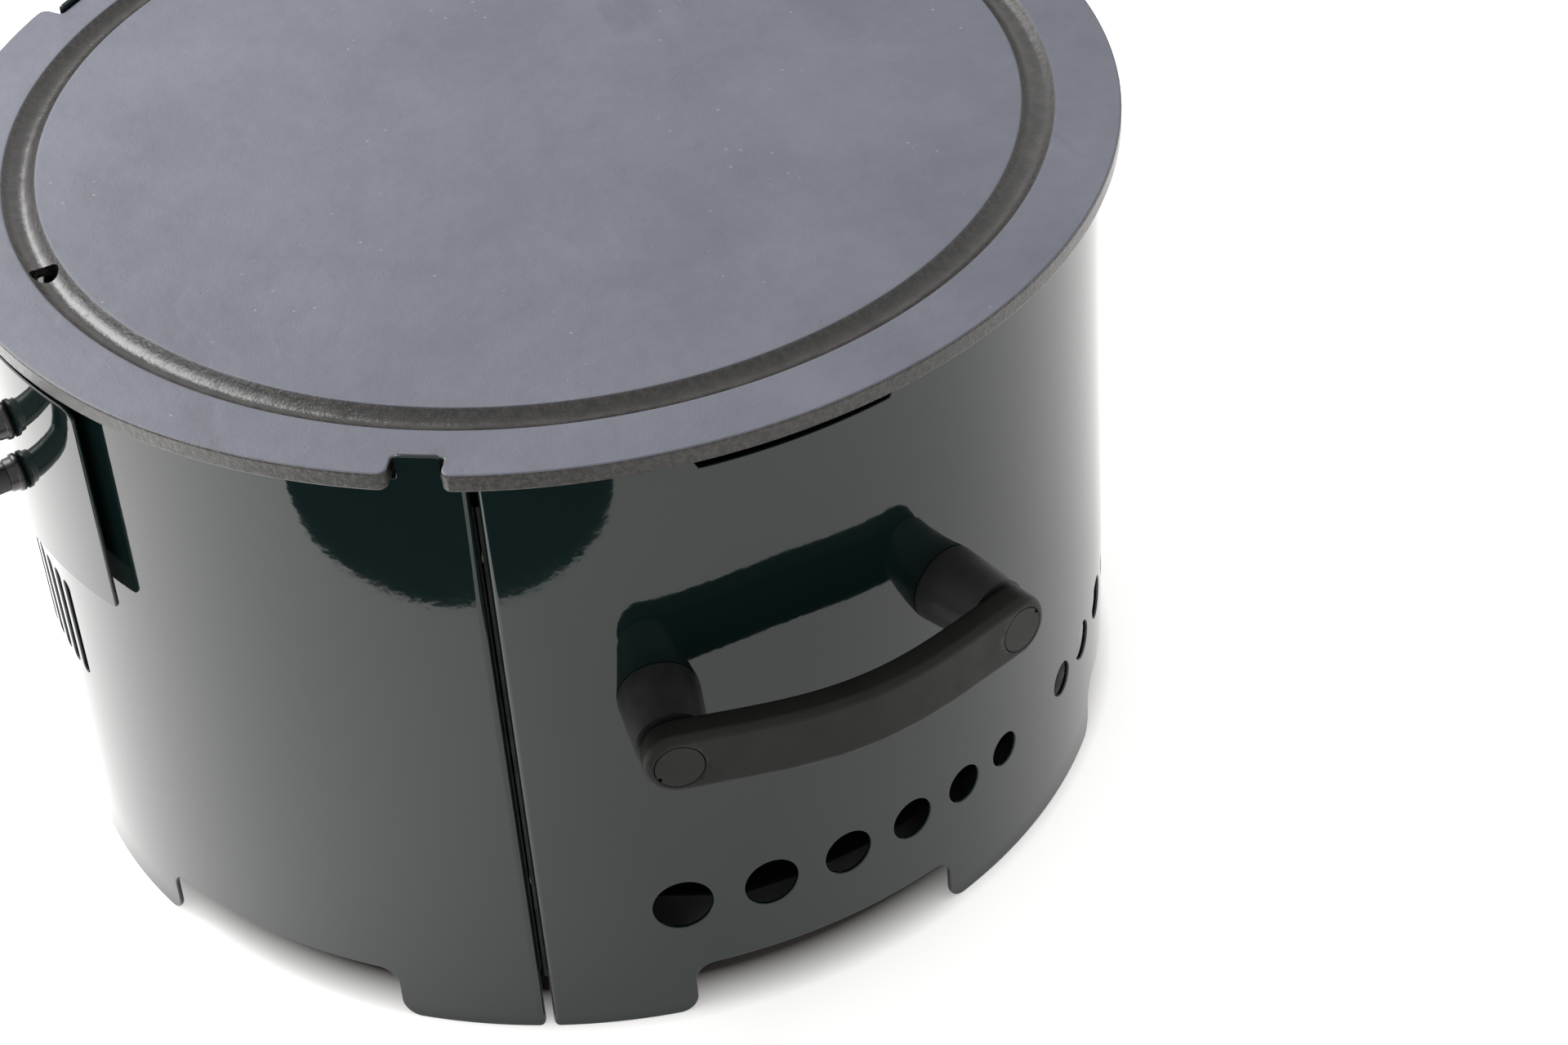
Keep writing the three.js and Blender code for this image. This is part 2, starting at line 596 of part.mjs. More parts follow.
// ---------------------------------------------------------------- ash pan and grate
// A round outline with a straight flat at each seam.
function panOutline(radius, flat) {
  const half = Math.acos(flat / radius);
  const points = [];
  for (let seam = 0; seam < PANELS; seam++) {
    const from = rad(seamAzimuth(seam)) + half;
    const to = rad(seamAzimuth(seam) + PANEL_SPAN) - half;
    for (let i = 0; i <= 16; i++) {
      const a = from + ((to - from) * i) / 16;
      points.push(new THREE.Vector2(radius * Math.cos(a), radius * Math.sin(a)));
    }
  }
  return new THREE.Shape(points);
}

function ashPan() {
  const flat = FLANGE_END - PAN_FLAT_CLEAR;
  const block = (inset, low, height) => {
    const slab = new THREE.ExtrudeGeometry(panOutline(PAN_R - inset, flat - inset), {
      depth: height,
      bevelEnabled: false,
    });
    return solid(slab, new THREE.Matrix4().makeTranslation(0, 0, low));
  };
  return block(0, PAN_LOW, PAN_H).subtract(block(PAN_T, PAN_LOW + PAN_T, PAN_H));
}
piece("ash_pan", ashPan(), SOOTED);

// Parallel bars inside a ring.
function charcoalGrate() {
  const ring = turned(
    [
      [GRATE_R - GRATE_BAR, GRATE_LOW],
      [GRATE_R, GRATE_LOW],
      [GRATE_R, GRATE_TOP],
      [GRATE_R - GRATE_BAR, GRATE_TOP],
      [GRATE_R - GRATE_BAR, GRATE_LOW],
    ],
    48,
  );
  const bars = [];
  const count = Math.floor((GRATE_R - GRATE_BAR) / GRATE_PITCH);
  const bar = (x, y, lengthX, lengthY) => {
    const block = new THREE.BoxGeometry(lengthX, lengthY, GRATE_BAR - 1);
    return solid(block, new THREE.Matrix4().makeTranslation(x, y, GRATE_LOW + GRATE_BAR / 2));
  };
  for (let i = -count; i <= count; i++) {
    const x = i * GRATE_PITCH;
    const half = Math.sqrt((GRATE_R - GRATE_BAR / 2) ** 2 - x * x) - 1;
    bars.push(bar(x, 0, GRATE_BAR - 1, 2 * half));
  }
  bars.push(bar(0, 0, 2 * GRATE_R - GRATE_BAR, GRATE_BAR - 1));
  return joinAll([ring, ...bars]);
}
piece("charcoal_grate", charcoalGrate(), IRON);

// A leg under the grate's ring, in the middle of a panel. It stands in the ash pan.
function grateLeg(panel) {
  const low = PAN_LOW + PAN_T + GAP;
  const high = GRATE_LOW - GAP;
  const rod = new THREE.CylinderGeometry(GRATE_LEG_R, GRATE_LEG_R, high - low, 14);
  const upright = new THREE.Matrix4().makeRotationX(Math.PI / 2);
  const place = atWall(panelAzimuth(panel), GRATE_R - GRATE_BAR / 2, (high + low) / 2);
  return solid(rod, place.multiply(upright));
}
for (let i = 0; i < PANELS; i++) piece("grate_leg_" + (i + 1), grateLeg(i), IRON);

// ---------------------------------------------------------------- fuel door and its hinge
// What lies outside the quarter circle of one of the door's corners.
function cornerCut(side, z, up, r) {
  const s = new THREE.Shape();
  s.moveTo(2, z + up);
  s.lineTo(-r, z + up);
  for (let i = 0; i <= 5; i++) {
    const a = ((5 - i) / 5) * (Math.PI / 2);
    s.lineTo(-r + r * Math.cos(a), z + up * r * (Math.sin(a) - 1));
  }
  s.lineTo(2, z - up * r);
  const outline = side > 0 ? s : mirrored(s);
  return radialCut(outline, FRONT_AZ + side * DOOR_HALF_ANGLE, DOOR_IN - 5, DOOR_OUT + 5);
}

function doorPlate() {
  const body = sector(
    DOOR_IN,
    DOOR_OUT,
    FRONT_AZ - DOOR_HALF_ANGLE,
    FRONT_AZ + DOOR_HALF_ANGLE,
    DOOR_LOW,
    DOOR_HIGH,
    2.5,
  );
  const nips = [];
  for (const side of [-1, 1]) {
    nips.push(cornerCut(side, DOOR_LOW, -1, DOOR_CORNER / 2), cornerCut(side, DOOR_HIGH, 1, DOOR_CORNER));
  }
  const rivets = rivetHeights.map((z) =>
    boltHole(leafAzimuths.moving, z, RIVET_R, DOOR_IN - 5, DOOR_OUT + 5),
  );
  const bolts = pullHeights.map((z) => boltHole(PULL_AZ, z, PULL_SCREW_R, DOOR_IN - 5, DOOR_OUT + 5));
  return cutAll(body, [...nips, ...rivets, ...bolts]);
}

function mirrored(shape) {
  return new THREE.Shape(shape.getPoints().map((p) => new THREE.Vector2(-p.x, p.y)));
}

// A round rod bent to a U, whose legs stand on the collars.
function doorPull() {
  const start = DOOR_OUT + 2 * GAP + COLLAR_T;
  const bend = PULL_SPACING / 2;
  const bendStart = DOOR_OUT + PULL_REACH - bend;
  const path = new THREE.CurvePath();
  const at = (r, z) => new THREE.Vector3(r, 0, z);
  path.add(new THREE.LineCurve3(at(start, PULL_Z - bend), at(bendStart, PULL_Z - bend)));
  const arc = [];
  for (let i = 0; i <= 8; i++) {
    const a = -Math.PI / 2 + (Math.PI * i) / 8;
    arc.push(at(bendStart + bend * Math.cos(a), PULL_Z + bend * Math.sin(a)));
  }
  for (let i = 1; i < arc.length; i++) path.add(new THREE.LineCurve3(arc[i - 1], arc[i]));
  path.add(new THREE.LineCurve3(at(bendStart, PULL_Z + bend), at(start, PULL_Z + bend)));
  const section = new THREE.Shape();
  section.absarc(0, 0, PULL_ROD / 2, 0, 2 * Math.PI);
  const rod = new THREE.ExtrudeGeometry(section, {
    extrudePath: path,
    steps: 20,
    bevelEnabled: false,
    curveSegments: 6,
  });
  const body = solid(rod, atWall(PULL_AZ));
  const threads = pullHeights.map((z) => boltHole(PULL_AZ, z, PULL_SCREW_R, start - 5, start + 10));
  return cutAll(body, threads);
}

function pullCollar(z) {
  const base = DOOR_OUT + GAP;
  const foot = radialRod(PULL_AZ, z, base, base + COLLAR_T * 0.45, COLLAR_D / 2, COLLAR_D / 2, 16);
  const step = radialRod(PULL_AZ, z, base, base + COLLAR_T, PULL_ROD / 2 + 0.8, PULL_ROD / 2 + 0.8, 16);
  return foot.add(step).subtract(boltHole(PULL_AZ, z, PULL_SCREW_R, base - 2, base + COLLAR_T + 2));
}

function pullScrew(z) {
  const shaft = radialRod(PULL_AZ, z, DOOR_IN - 1, DOOR_OUT + COLLAR_T + 9, PULL_SCREW_R, PULL_SCREW_R, 12);
  const head = radialRod(PULL_AZ, z, DOOR_IN - 2.8, DOOR_IN - GAP, PULL_SCREW_R * 1.6, PULL_SCREW_R * 2, 12);
  return shaft.add(head);
}

function knuckle(low, high, radius, sides = 14) {
  const drum = new THREE.CylinderGeometry(radius, radius, high - low, sides);
  const upright = new THREE.Matrix4().makeRotationX(Math.PI / 2);
  return solid(drum, atWall(HINGE_AZ, PIN_R, (low + high) / 2).multiply(upright));
}

const third = (HINGE_HIGH - HINGE_LOW) / 3;
const middleLow = HINGE_LOW + third;
const middleHigh = HINGE_HIGH - third;
const pinBore = () => knuckle(HINGE_LOW - 5, HINGE_HIGH + 5, HINGE_PIN_R + HINGE_RUN);

// The leaf riveted to the wall holds the outer two knuckles.
function fixedLeaf() {
  const leaf = sector(
    LEAF_IN,
    LEAF_IN + LEAF_T,
    HINGE_AZ - arcAngle(LEAF_ARC, LEAF_IN),
    HINGE_AZ,
    HINGE_LOW,
    HINGE_HIGH,
  );
  const knuckles = [
    knuckle(HINGE_LOW, middleLow - GAP, KNUCKLE_R),
    knuckle(middleHigh + GAP, HINGE_HIGH, KNUCKLE_R),
  ];
  const space = knuckle(middleLow - GAP, middleHigh + GAP, KNUCKLE_R + 2 * GAP);
  const rivets = rivetHeights.map((z) => boltHole(leafAzimuths.fixed, z, RIVET_R, DRUM_R - 5, DRUM_R + 8));
  return cutAll(joinAll([leaf.subtract(space), ...knuckles]), [pinBore(), ...rivets]);
}

// The leaf riveted to the door holds the middle knuckle.
function movingLeaf() {
  const inner = DOOR_OUT + GAP;
  const leaf = sector(
    inner,
    inner + LEAF_T,
    HINGE_AZ,
    HINGE_AZ + arcAngle(LEAF_ARC, DOOR_OUT),
    HINGE_LOW,
    HINGE_HIGH,
  );
  const spaces = [
    knuckle(HINGE_LOW - 2, middleLow, KNUCKLE_R + 2 * GAP),
    knuckle(middleHigh, HINGE_HIGH + 2, KNUCKLE_R + 2 * GAP),
  ];
  const barrel = knuckle(middleLow, middleHigh, KNUCKLE_R);
  const rivets = rivetHeights.map((z) =>
    boltHole(leafAzimuths.moving, z, RIVET_R, DOOR_OUT - 5, DOOR_OUT + 8),
  );
  return cutAll(cutAll(leaf, spaces).add(barrel), [pinBore(), ...rivets]);
}

function hingePin() {
  const shaft = knuckle(HINGE_LOW - 1, HINGE_HIGH + GAP, HINGE_PIN_R);
  const head = knuckle(HINGE_HIGH + GAP, HINGE_HIGH + 2, KNUCKLE_R - 0.6);
  return shaft.add(head);
}

// A rivet through a leaf and the sheet under it, with a head on each side.
function rivet(azimuth, z, inner, outer) {
  const shaft = radialRod(azimuth, z, inner - GAP - 0.5, outer + GAP + 0.5, RIVET_R, RIVET_R, 10);
  const head = radialRod(azimuth, z, outer + GAP, outer + GAP + 1.3, RIVET_R * 2, RIVET_R * 1.3, 10);
  const tail = radialRod(azimuth, z, inner - GAP - 1, inner - GAP, RIVET_R * 1.4, RIVET_R * 1.7, 10);
  return joinAll([shaft, head, tail]);
}

piece("fuel_door", doorPlate(), ENAMEL);
piece("door_pull", doorPull(), BLACK_STEEL);
pullHeights.forEach((z, k) => {
  const tag = k ? "_upper" : "_lower";
  piece("door_pull_collar" + tag, pullCollar(z), BLACK_STEEL);
  piece("door_pull_screw" + tag, pullScrew(z), ZINC);
});
piece("hinge_leaf_fixed", fixedLeaf(), BLACK_STEEL);
piece("hinge_leaf_moving", movingLeaf(), BLACK_STEEL);
piece("hinge_pin", hingePin(), ZINC);
rivetHeights.forEach((z, k) => {
  const tag = k ? "_upper" : "_lower";
  const toWall = rivet(leafAzimuths.fixed, z, DRUM_R - SHEET, LEAF_IN + LEAF_T);
  const toDoor = rivet(leafAzimuths.moving, z, DOOR_IN, DOOR_OUT + GAP + LEAF_T);
  piece("hinge_rivet_fixed" + tag, toWall, BLACK_STEEL);
  piece("hinge_rivet_moving" + tag, toDoor, BLACK_STEEL);
});

// ---------------------------------------------------------------- side handles
// A post is a tapered round spacer whose inner end is hollowed to sit on the curved wall.
function handlePost(azimuth) {
  const tip = Math.sqrt(GRIP_IN ** 2 - POST_TIP_R ** 2) - GAP;
  const rod = radialRod(azimuth, HANDLE_Z, DRUM_R - 6, tip, POST_BASE_R, POST_TIP_R);
  const saddle = turned(
    [
      [0, HANDLE_Z - 2 * POST_BASE_R],
      [DRUM_R + GAP, HANDLE_Z - 2 * POST_BASE_R],
      [DRUM_R + GAP, HANDLE_Z + 2 * POST_BASE_R],
      [0, HANDLE_Z + 2 * POST_BASE_R],
    ],
    144,
  );
  const bore = boltHole(azimuth, HANDLE_Z, HANDLE_BOLT_R, DRUM_R - 10, GRIP_IN + 5);
  return cutAll(rod, [saddle, bore]);
}

// The distance of the grip's inner face from the drum's axis: it bows out between the posts.
function gripReach(t) {
  return GRIP_IN + (GRIP_BOW * (1 + Math.cos(Math.PI * t))) / 2; // t runs from -1 to 1 between the posts
}

function handleGrip(handle) {
  const endAngle = HANDLE_HALF_ANGLE + arcAngle(GRIP_H / 2, GRIP_IN);
  const steps = 12;
  const plan = [];
  const place = (t, extra) => {
    const angle = rad(t * endAngle);
    const reach = gripReach(Math.max(-1, Math.min(1, (t * endAngle) / HANDLE_HALF_ANGLE))) + extra;
    plan.push(new THREE.Vector2(reach * Math.cos(angle), reach * Math.sin(angle)));
  };
  for (let i = 0; i <= steps; i++) place((2 * i) / steps - 1, GRIP_T);
  for (let i = steps; i >= 0; i--) place((2 * i) / steps - 1, 0);
  const slab = new THREE.ExtrudeGeometry(new THREE.Shape(plan), {
    depth: GRIP_H - 2 * GRIP_EDGE,
    bevelEnabled: true,
    bevelThickness: GRIP_EDGE,
    bevelSize: GRIP_EDGE,
    bevelOffset: -GRIP_EDGE,
    bevelSegments: 2,
  });
  let body = solid(slab, atWall(handle.azimuth, 0, HANDLE_Z - GRIP_H / 2 + GRIP_EDGE));
  // the ends are rounded about the posts' axes
  for (const side of [-1, 1]) {
    const azimuth = handle.azimuth + side * HANDLE_HALF_ANGLE;
    const s = new THREE.Shape();
    const r = GRIP_H / 2;
    s.moveTo(0, HANDLE_Z + r + 1);
    for (let i = 0; i <= 10; i++) {
      const a = Math.PI / 2 - (Math.PI * i) / 10;
      s.lineTo(r * Math.cos(a), HANDLE_Z + r * Math.sin(a));
    }
    s.lineTo(0, HANDLE_Z - r - 1);
    s.lineTo(3 * r, HANDLE_Z - r - 1);
    s.lineTo(3 * r, HANDLE_Z + r + 1);
    const outline = side > 0 ? s : mirrored(s);
    body = body.subtract(radialCut(outline, azimuth, GRIP_IN - 10, GRIP_IN + 3 * GRIP_T));
    body = body.subtract(boltHole(azimuth, HANDLE_Z, HANDLE_BOLT_R, GRIP_IN - 5, GRIP_OUT + 5));
    const pocketFloor = GRIP_OUT - CAP_T - HANDLE_HEAD_T - 2 * GAP;
    const pocketR = CAP_R + CAP_CLEAR;
    const pocket = radialRod(azimuth, HANDLE_Z, pocketFloor, GRIP_OUT + GRIP_T, pocketR, pocketR, 20);
    body = body.subtract(pocket);
  }
  return body;
}

function handleCap(azimuth) {
  const disc = radialRod(azimuth, HANDLE_Z, GRIP_OUT - CAP_T, GRIP_OUT, CAP_R, CAP_R, 20);
  const lip = radialRod(azimuth, HANDLE_Z, GRIP_OUT - 0.4, GRIP_OUT + 0.2, CAP_R - 0.2, CAP_R - 0.8, 20);
  return disc.add(lip);
}

// The screw's round head sits under the cap, and its nut is inside the drum.
function handleScrew(azimuth) {
  const headOut = GRIP_OUT - CAP_T - GAP;
  const head = radialRod(azimuth, HANDLE_Z, headOut - HANDLE_HEAD_T, headOut, CAP_R - 2.4, CAP_R - 2.4, 16);
  const shaftIn = DRUM_R - SHEET - GAP - NUT_T - 3;
  const shaft = radialRod(azimuth, HANDLE_Z, shaftIn, headOut - 1, HANDLE_BOLT_R, HANDLE_BOLT_R, 12);
  return head.add(shaft);
}

function handleNut(azimuth) {
  const out = DRUM_R - SHEET - 2 * GAP;
  const nut = radialRod(azimuth, HANDLE_Z, out - NUT_T, out, HEX_R, HEX_R, 6);
  return nut.subtract(boltHole(azimuth, HANDLE_Z, HANDLE_BOLT_R - GAP / 2, out - 10, out + 5));
}

for (const handle of HANDLES) {
  piece(handle.side + "_handle_grip", handleGrip(handle), PLASTIC);
  postAzimuths(handle).forEach((azimuth, k) => {
    const tag = k ? "_b" : "_a";
    piece(handle.side + "_handle_post" + tag, handlePost(azimuth), PLASTIC);
    piece(handle.side + "_handle_cap" + tag, handleCap(azimuth), PLASTIC);
    piece(handle.side + "_handle_screw" + tag, handleScrew(azimuth), ZINC);
    piece(handle.side + "_handle_nut" + tag, handleNut(azimuth), ZINC);
  });
}

// The origin lies on the ground under the middle of the footprint. The pull reaches further forward than
// the plate does backward, so the drum's axis stands behind the origin.
const frontReach = DOOR_OUT + PULL_REACH + PULL_ROD / 2;
grill.position.y = (frontReach - PLATE_R) / 2;

export default grill;
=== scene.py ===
from math import asin, cos, degrees, pi, radians, sin, sqrt

import bmesh
import bpy
from mathutils import Matrix, Vector
from mathutils.geometry import tessellate_polygon


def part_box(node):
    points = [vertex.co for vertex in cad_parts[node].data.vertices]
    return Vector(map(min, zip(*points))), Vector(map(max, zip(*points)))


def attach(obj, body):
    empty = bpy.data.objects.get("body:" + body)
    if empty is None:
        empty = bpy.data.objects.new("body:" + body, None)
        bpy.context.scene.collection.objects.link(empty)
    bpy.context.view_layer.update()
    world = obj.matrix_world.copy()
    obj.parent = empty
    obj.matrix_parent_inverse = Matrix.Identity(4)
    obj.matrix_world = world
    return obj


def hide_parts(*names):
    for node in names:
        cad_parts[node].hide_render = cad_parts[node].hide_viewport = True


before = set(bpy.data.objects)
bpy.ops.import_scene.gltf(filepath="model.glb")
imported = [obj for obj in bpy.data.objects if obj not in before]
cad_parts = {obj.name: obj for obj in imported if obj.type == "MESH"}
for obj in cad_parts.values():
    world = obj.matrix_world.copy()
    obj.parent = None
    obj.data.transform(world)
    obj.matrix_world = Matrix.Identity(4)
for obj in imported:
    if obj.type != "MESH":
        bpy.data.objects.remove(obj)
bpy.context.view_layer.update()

MM = 0.001

# ------------------------------------------------------------ driving sizes, the same as the CAD model's
plate_low, plate_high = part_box("griddle_plate")
door_low, door_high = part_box("fuel_door")
PLATE_Z0, PLATE_Z1 = plate_low.z, plate_high.z
PLATE_R = plate_high.x
AXIS = Vector((0, plate_low.y + PLATE_R, 0))
GAP = 0.3 * MM  # between pieces that rest on each other
SHEET = 2 * MM
SHEET_EDGE = 0.55 * MM  # how far a sheet's edges are rounded
DRUM_R = 229.5 * MM
DRUM_TOP = PLATE_Z0 - GAP
FRONT_AZ = -90.0
PANEL_SPAN = 120.0
BEND_R = 3 * MM
FLANGE_END = 209.5 * MM
FLANGE_LOW = 28 * MM
SEAM_HALF = 1.4 * MM
SEAM_CORNER = 3.2 * MM
FOOT_HALF = 61 * MM
FOOT_HEIGHT = 25 * MM
FOOT_FILLET = 8 * MM
TAB_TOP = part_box("front_panel")[1].z
TAB_HALF = 8.25 * MM
TAB_AT = PANEL_SPAN / 2 - degrees(18 * MM / DRUM_R)  # from a panel's middle to its tab
REAR_TAB_AT = 4.5  # degrees from the rear seam to the tab on each side of it
HANDLE_Z = 171.5 * MM
HANDLE_HALF = 15.5  # degrees from a handle's middle to its posts
GRIP_IN = 257.5 * MM
GRIP_T = 13 * MM
GRIP_H = 27 * MM
GRIP_BOW = 5 * MM
DOOR_R = 236 * MM
DOOR_HALF = 80 * MM
DOOR_Z0, DOOR_Z1 = door_low.z, door_high.z
PULL_AZ = -85.0
PULL_Z = (DOOR_Z0 + DOOR_Z1) / 2


# ------------------------------------------------------------ flat outlines
def arc(cx, cy, r, start, end, steps=8):
    """Points on a circle between two angles in degrees."""
    turns = [radians(start + (end - start) * i / steps) for i in range(steps + 1)]
    return [(cx + r * cos(a), cy + r * sin(a)) for a in turns]


def rounded_rect(x0, y0, x1, y1, r_low, r_high=None):
    """An anticlockwise rectangle with rounded corners."""
    top = r_low if r_high is None else r_high
    lower = arc(x0 + r_low, y0 + r_low, r_low, 180, 270)
    lower += arc(x1 - r_low, y0 + r_low, r_low, 270, 360)
    return lower + arc(x1 - top, y1 - top, top, 0, 90) + arc(x0 + top, y1 - top, top, 90, 180)


def circle(cx, cy, r, steps=48):
    return arc(cx, cy, r, 0, 360, steps)[:-1]


def cleaned(loop, least=2e-5):
    """The loop without points that repeat their neighbour."""
    return [p for i, p in enumerate(loop) if (Vector(p) - Vector(loop[i - 1])).length > least]


def inset(loop, distance):
    """The loop moved to its left by a distance, which is into the material."""
    out = []
    for i, p in enumerate(loop):
        before = (Vector(p) - Vector(loop[i - 1])).normalized()
        after = (Vector(loop[(i + 1) % len(loop)]) - Vector(p)).normalized()
        n1, n2 = Vector((-before.y, before.x)), Vector((-after.y, after.x))
        mid = (n1 + n2).normalized()
        out.append(Vector(p) + mid * distance / max(0.4, mid.dot(n1)))
    return [(v.x, v.y) for v in out]


# ------------------------------------------------------------ meshes
def joined(bm, rings):
    """Makes the faces between each closed ring of points and the next."""
    for low, high in zip(rings, rings[1:]):
        for i in range(len(low)):
            j = (i + 1) % len(low)
            bm.faces.new((low[i], low[j], high[j], high[i]))


def filled(bm, loops, up):
    """Makes the level faces between an outline and its holes, facing up for 1 and down for -1."""
    verts = [v for loop in loops for v in loop]
    for tri in tessellate_polygon([[v.co.xy.to_3d() for v in loop] for loop in loops]):
        a, b, c = (verts[i] for i in tri)
        if (b.co - a.co).cross(c.co - a.co).z * up < 0:
            b, c = c, b
        if len({a, b, c}) == 3 and not bm.faces.get((a, b, c)):
            bm.faces.new((a, b, c))


def slab(outline, holes, thick, edge, steps=2):
    """A flat plate lying behind z = 0 with rounded edges, as a bmesh. Holes are given anticlockwise."""
    bm = bmesh.new()
    loops = [cleaned(outline)] + [list(reversed(cleaned(h))) for h in holes]
    quarter = [radians(90 * k / steps) for k in range(steps + 1)]
    near = [(edge * (1 - sin(a)), edge * (1 - cos(a))) for a in quarter]
    profile = near + [(off, thick - depth) for off, depth in reversed(near)]
    front, back = [], []
    for loop in loops:
        rings = []
        for off, depth in profile:
            points = inset(loop, off) if off > 1e-9 else loop
            rings.append([bm.verts.new((x, y, -depth)) for x, y in points])
        for a, b in zip(rings, rings[1:]):
            for i in range(len(loop)):
                j = (i + 1) % len(loop)
                bm.faces.new((a[i], b[i], b[j], a[j]))
        front.append(rings[0])
        back.append(rings[-1])
    filled(bm, front, 1)
    filled(bm, back, -1)
    return bm


def cut_across(bm, places):
    """Cuts the plate along lines x = place, so that it can be bent."""
    for x in places:
        everything = bm.verts[:] + bm.edges[:] + bm.faces[:]
        bmesh.ops.bisect_plane(bm, geom=everything, dist=1e-6, plane_co=(x, 0, 0), plane_no=(1, 0, 0))


def bent(bm, name, place):
    """Turns a flat plate into an object. place gives a point's position and its three directions."""
    bm.normal_update()
    normals = []
    for v in bm.verts:
        flat = [f.normal.z for f in v.link_faces]
        if max(flat) > 0.9999:
            n = Vector((0, 0, 1))
        elif min(flat) < -0.9999:
            n = Vector((0, 0, -1))
        else:
            n = v.normal.copy()
        spot, across, up, out = place(*v.co)
        v.co = spot
        normals.append((across * n.x + up * n.y + out * n.z).normalized())
    return finished(bm, name, normals)


def finished(bm, name, normals=None):
    mesh = bpy.data.meshes.new(name)
    bm.to_mesh(mesh)
    bm.free()
    mesh.shade_smooth()
    if normals:
        mesh.normals_split_custom_set_from_vertices(normals)
    obj = bpy.data.objects.new(name, mesh)
    bpy.context.scene.collection.objects.link(obj)
    return obj


def directions(azimuth):
    """The directions along the wall, up and outwards at an azimuth in radians."""
    across = Vector((-sin(azimuth), cos(azimuth), 0))
    out = Vector((cos(azimuth), sin(azimuth), 0))
    return across, Vector((0, 0, 1)), out


def on_wall(azimuth, radius):
    """A way to bend a plate round the drum: x runs along the arc of that radius, y is the height."""
    def place(x, y, z):
        across, up, out = directions(radians(azimuth) + x / radius)
        return AXIS + out * (radius + z) + up * y, across, up, out
    return place


def on_radius(azimuth, distance, height):
    """A way to place a flat plate square to a radius of the drum."""
    def place(x, y, z):
        across, up, out = directions(radians(azimuth))
        return AXIS + out * (distance + z) + across * x + up * (height + y), across, up, out
    return place


def lathe(name, profile, origin, direction, sides=64):
    """A turned body from a list of (distance along the direction, radius), closed on its axis."""
    side = direction.orthogonal().normalized()
    other = direction.cross(side)
    bm = bmesh.new()
    rings = []
    for along, radius in profile:
        centre = origin + direction * along
        if radius < 1e-7:
            rings.append([bm.verts.new(centre)])
            continue
        turns = [2 * pi * i / sides for i in range(sides)]
        rings.append([bm.verts.new(centre + (side * cos(a) + other * sin(a)) * radius) for a in turns])
    for low, high in zip(rings, rings[1:]):
        for i in range(sides):
            j = (i + 1) % sides
            corners = [low[i % len(low)], low[j % len(low)], high[j % len(high)], high[i % len(high)]]
            corners = [c for k, c in enumerate(corners) if c not in corners[:k]]
            if len(corners) > 2:
                bm.faces.new(corners)
    bmesh.ops.recalc_face_normals(bm, faces=bm.faces)
    return finished(bm, name)


def crisp(obj, angle):
    """Smooth shading that keeps edges sharper than an angle in degrees."""
    obj.data.shade_smooth()
    obj.data.set_sharp_from_angle(angle=radians(angle))
    return obj


def drilled(obj, drill):
    """Cuts the drill's shape out of the object and removes the drill."""
    cut = obj.modifiers.new("cut", "BOOLEAN")
    cut.object = drill
    cut.operation = "DIFFERENCE"
    graph = bpy.context.evaluated_depsgraph_get()
    mesh = bpy.data.meshes.new_from_object(obj.evaluated_get(graph))
    obj.modifiers.clear()
    obj.data = mesh
    bpy.data.objects.remove(drill)


def given(obj, body, slot, material, *nodes):
    """Gives the object its material and its body, and hides the CAD nodes that it stands for. The slot is
    not used.
    """
    obj.data.materials.clear()
    obj.data.materials.append(material)
    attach(obj, body)
    if nodes:
        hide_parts(*nodes)


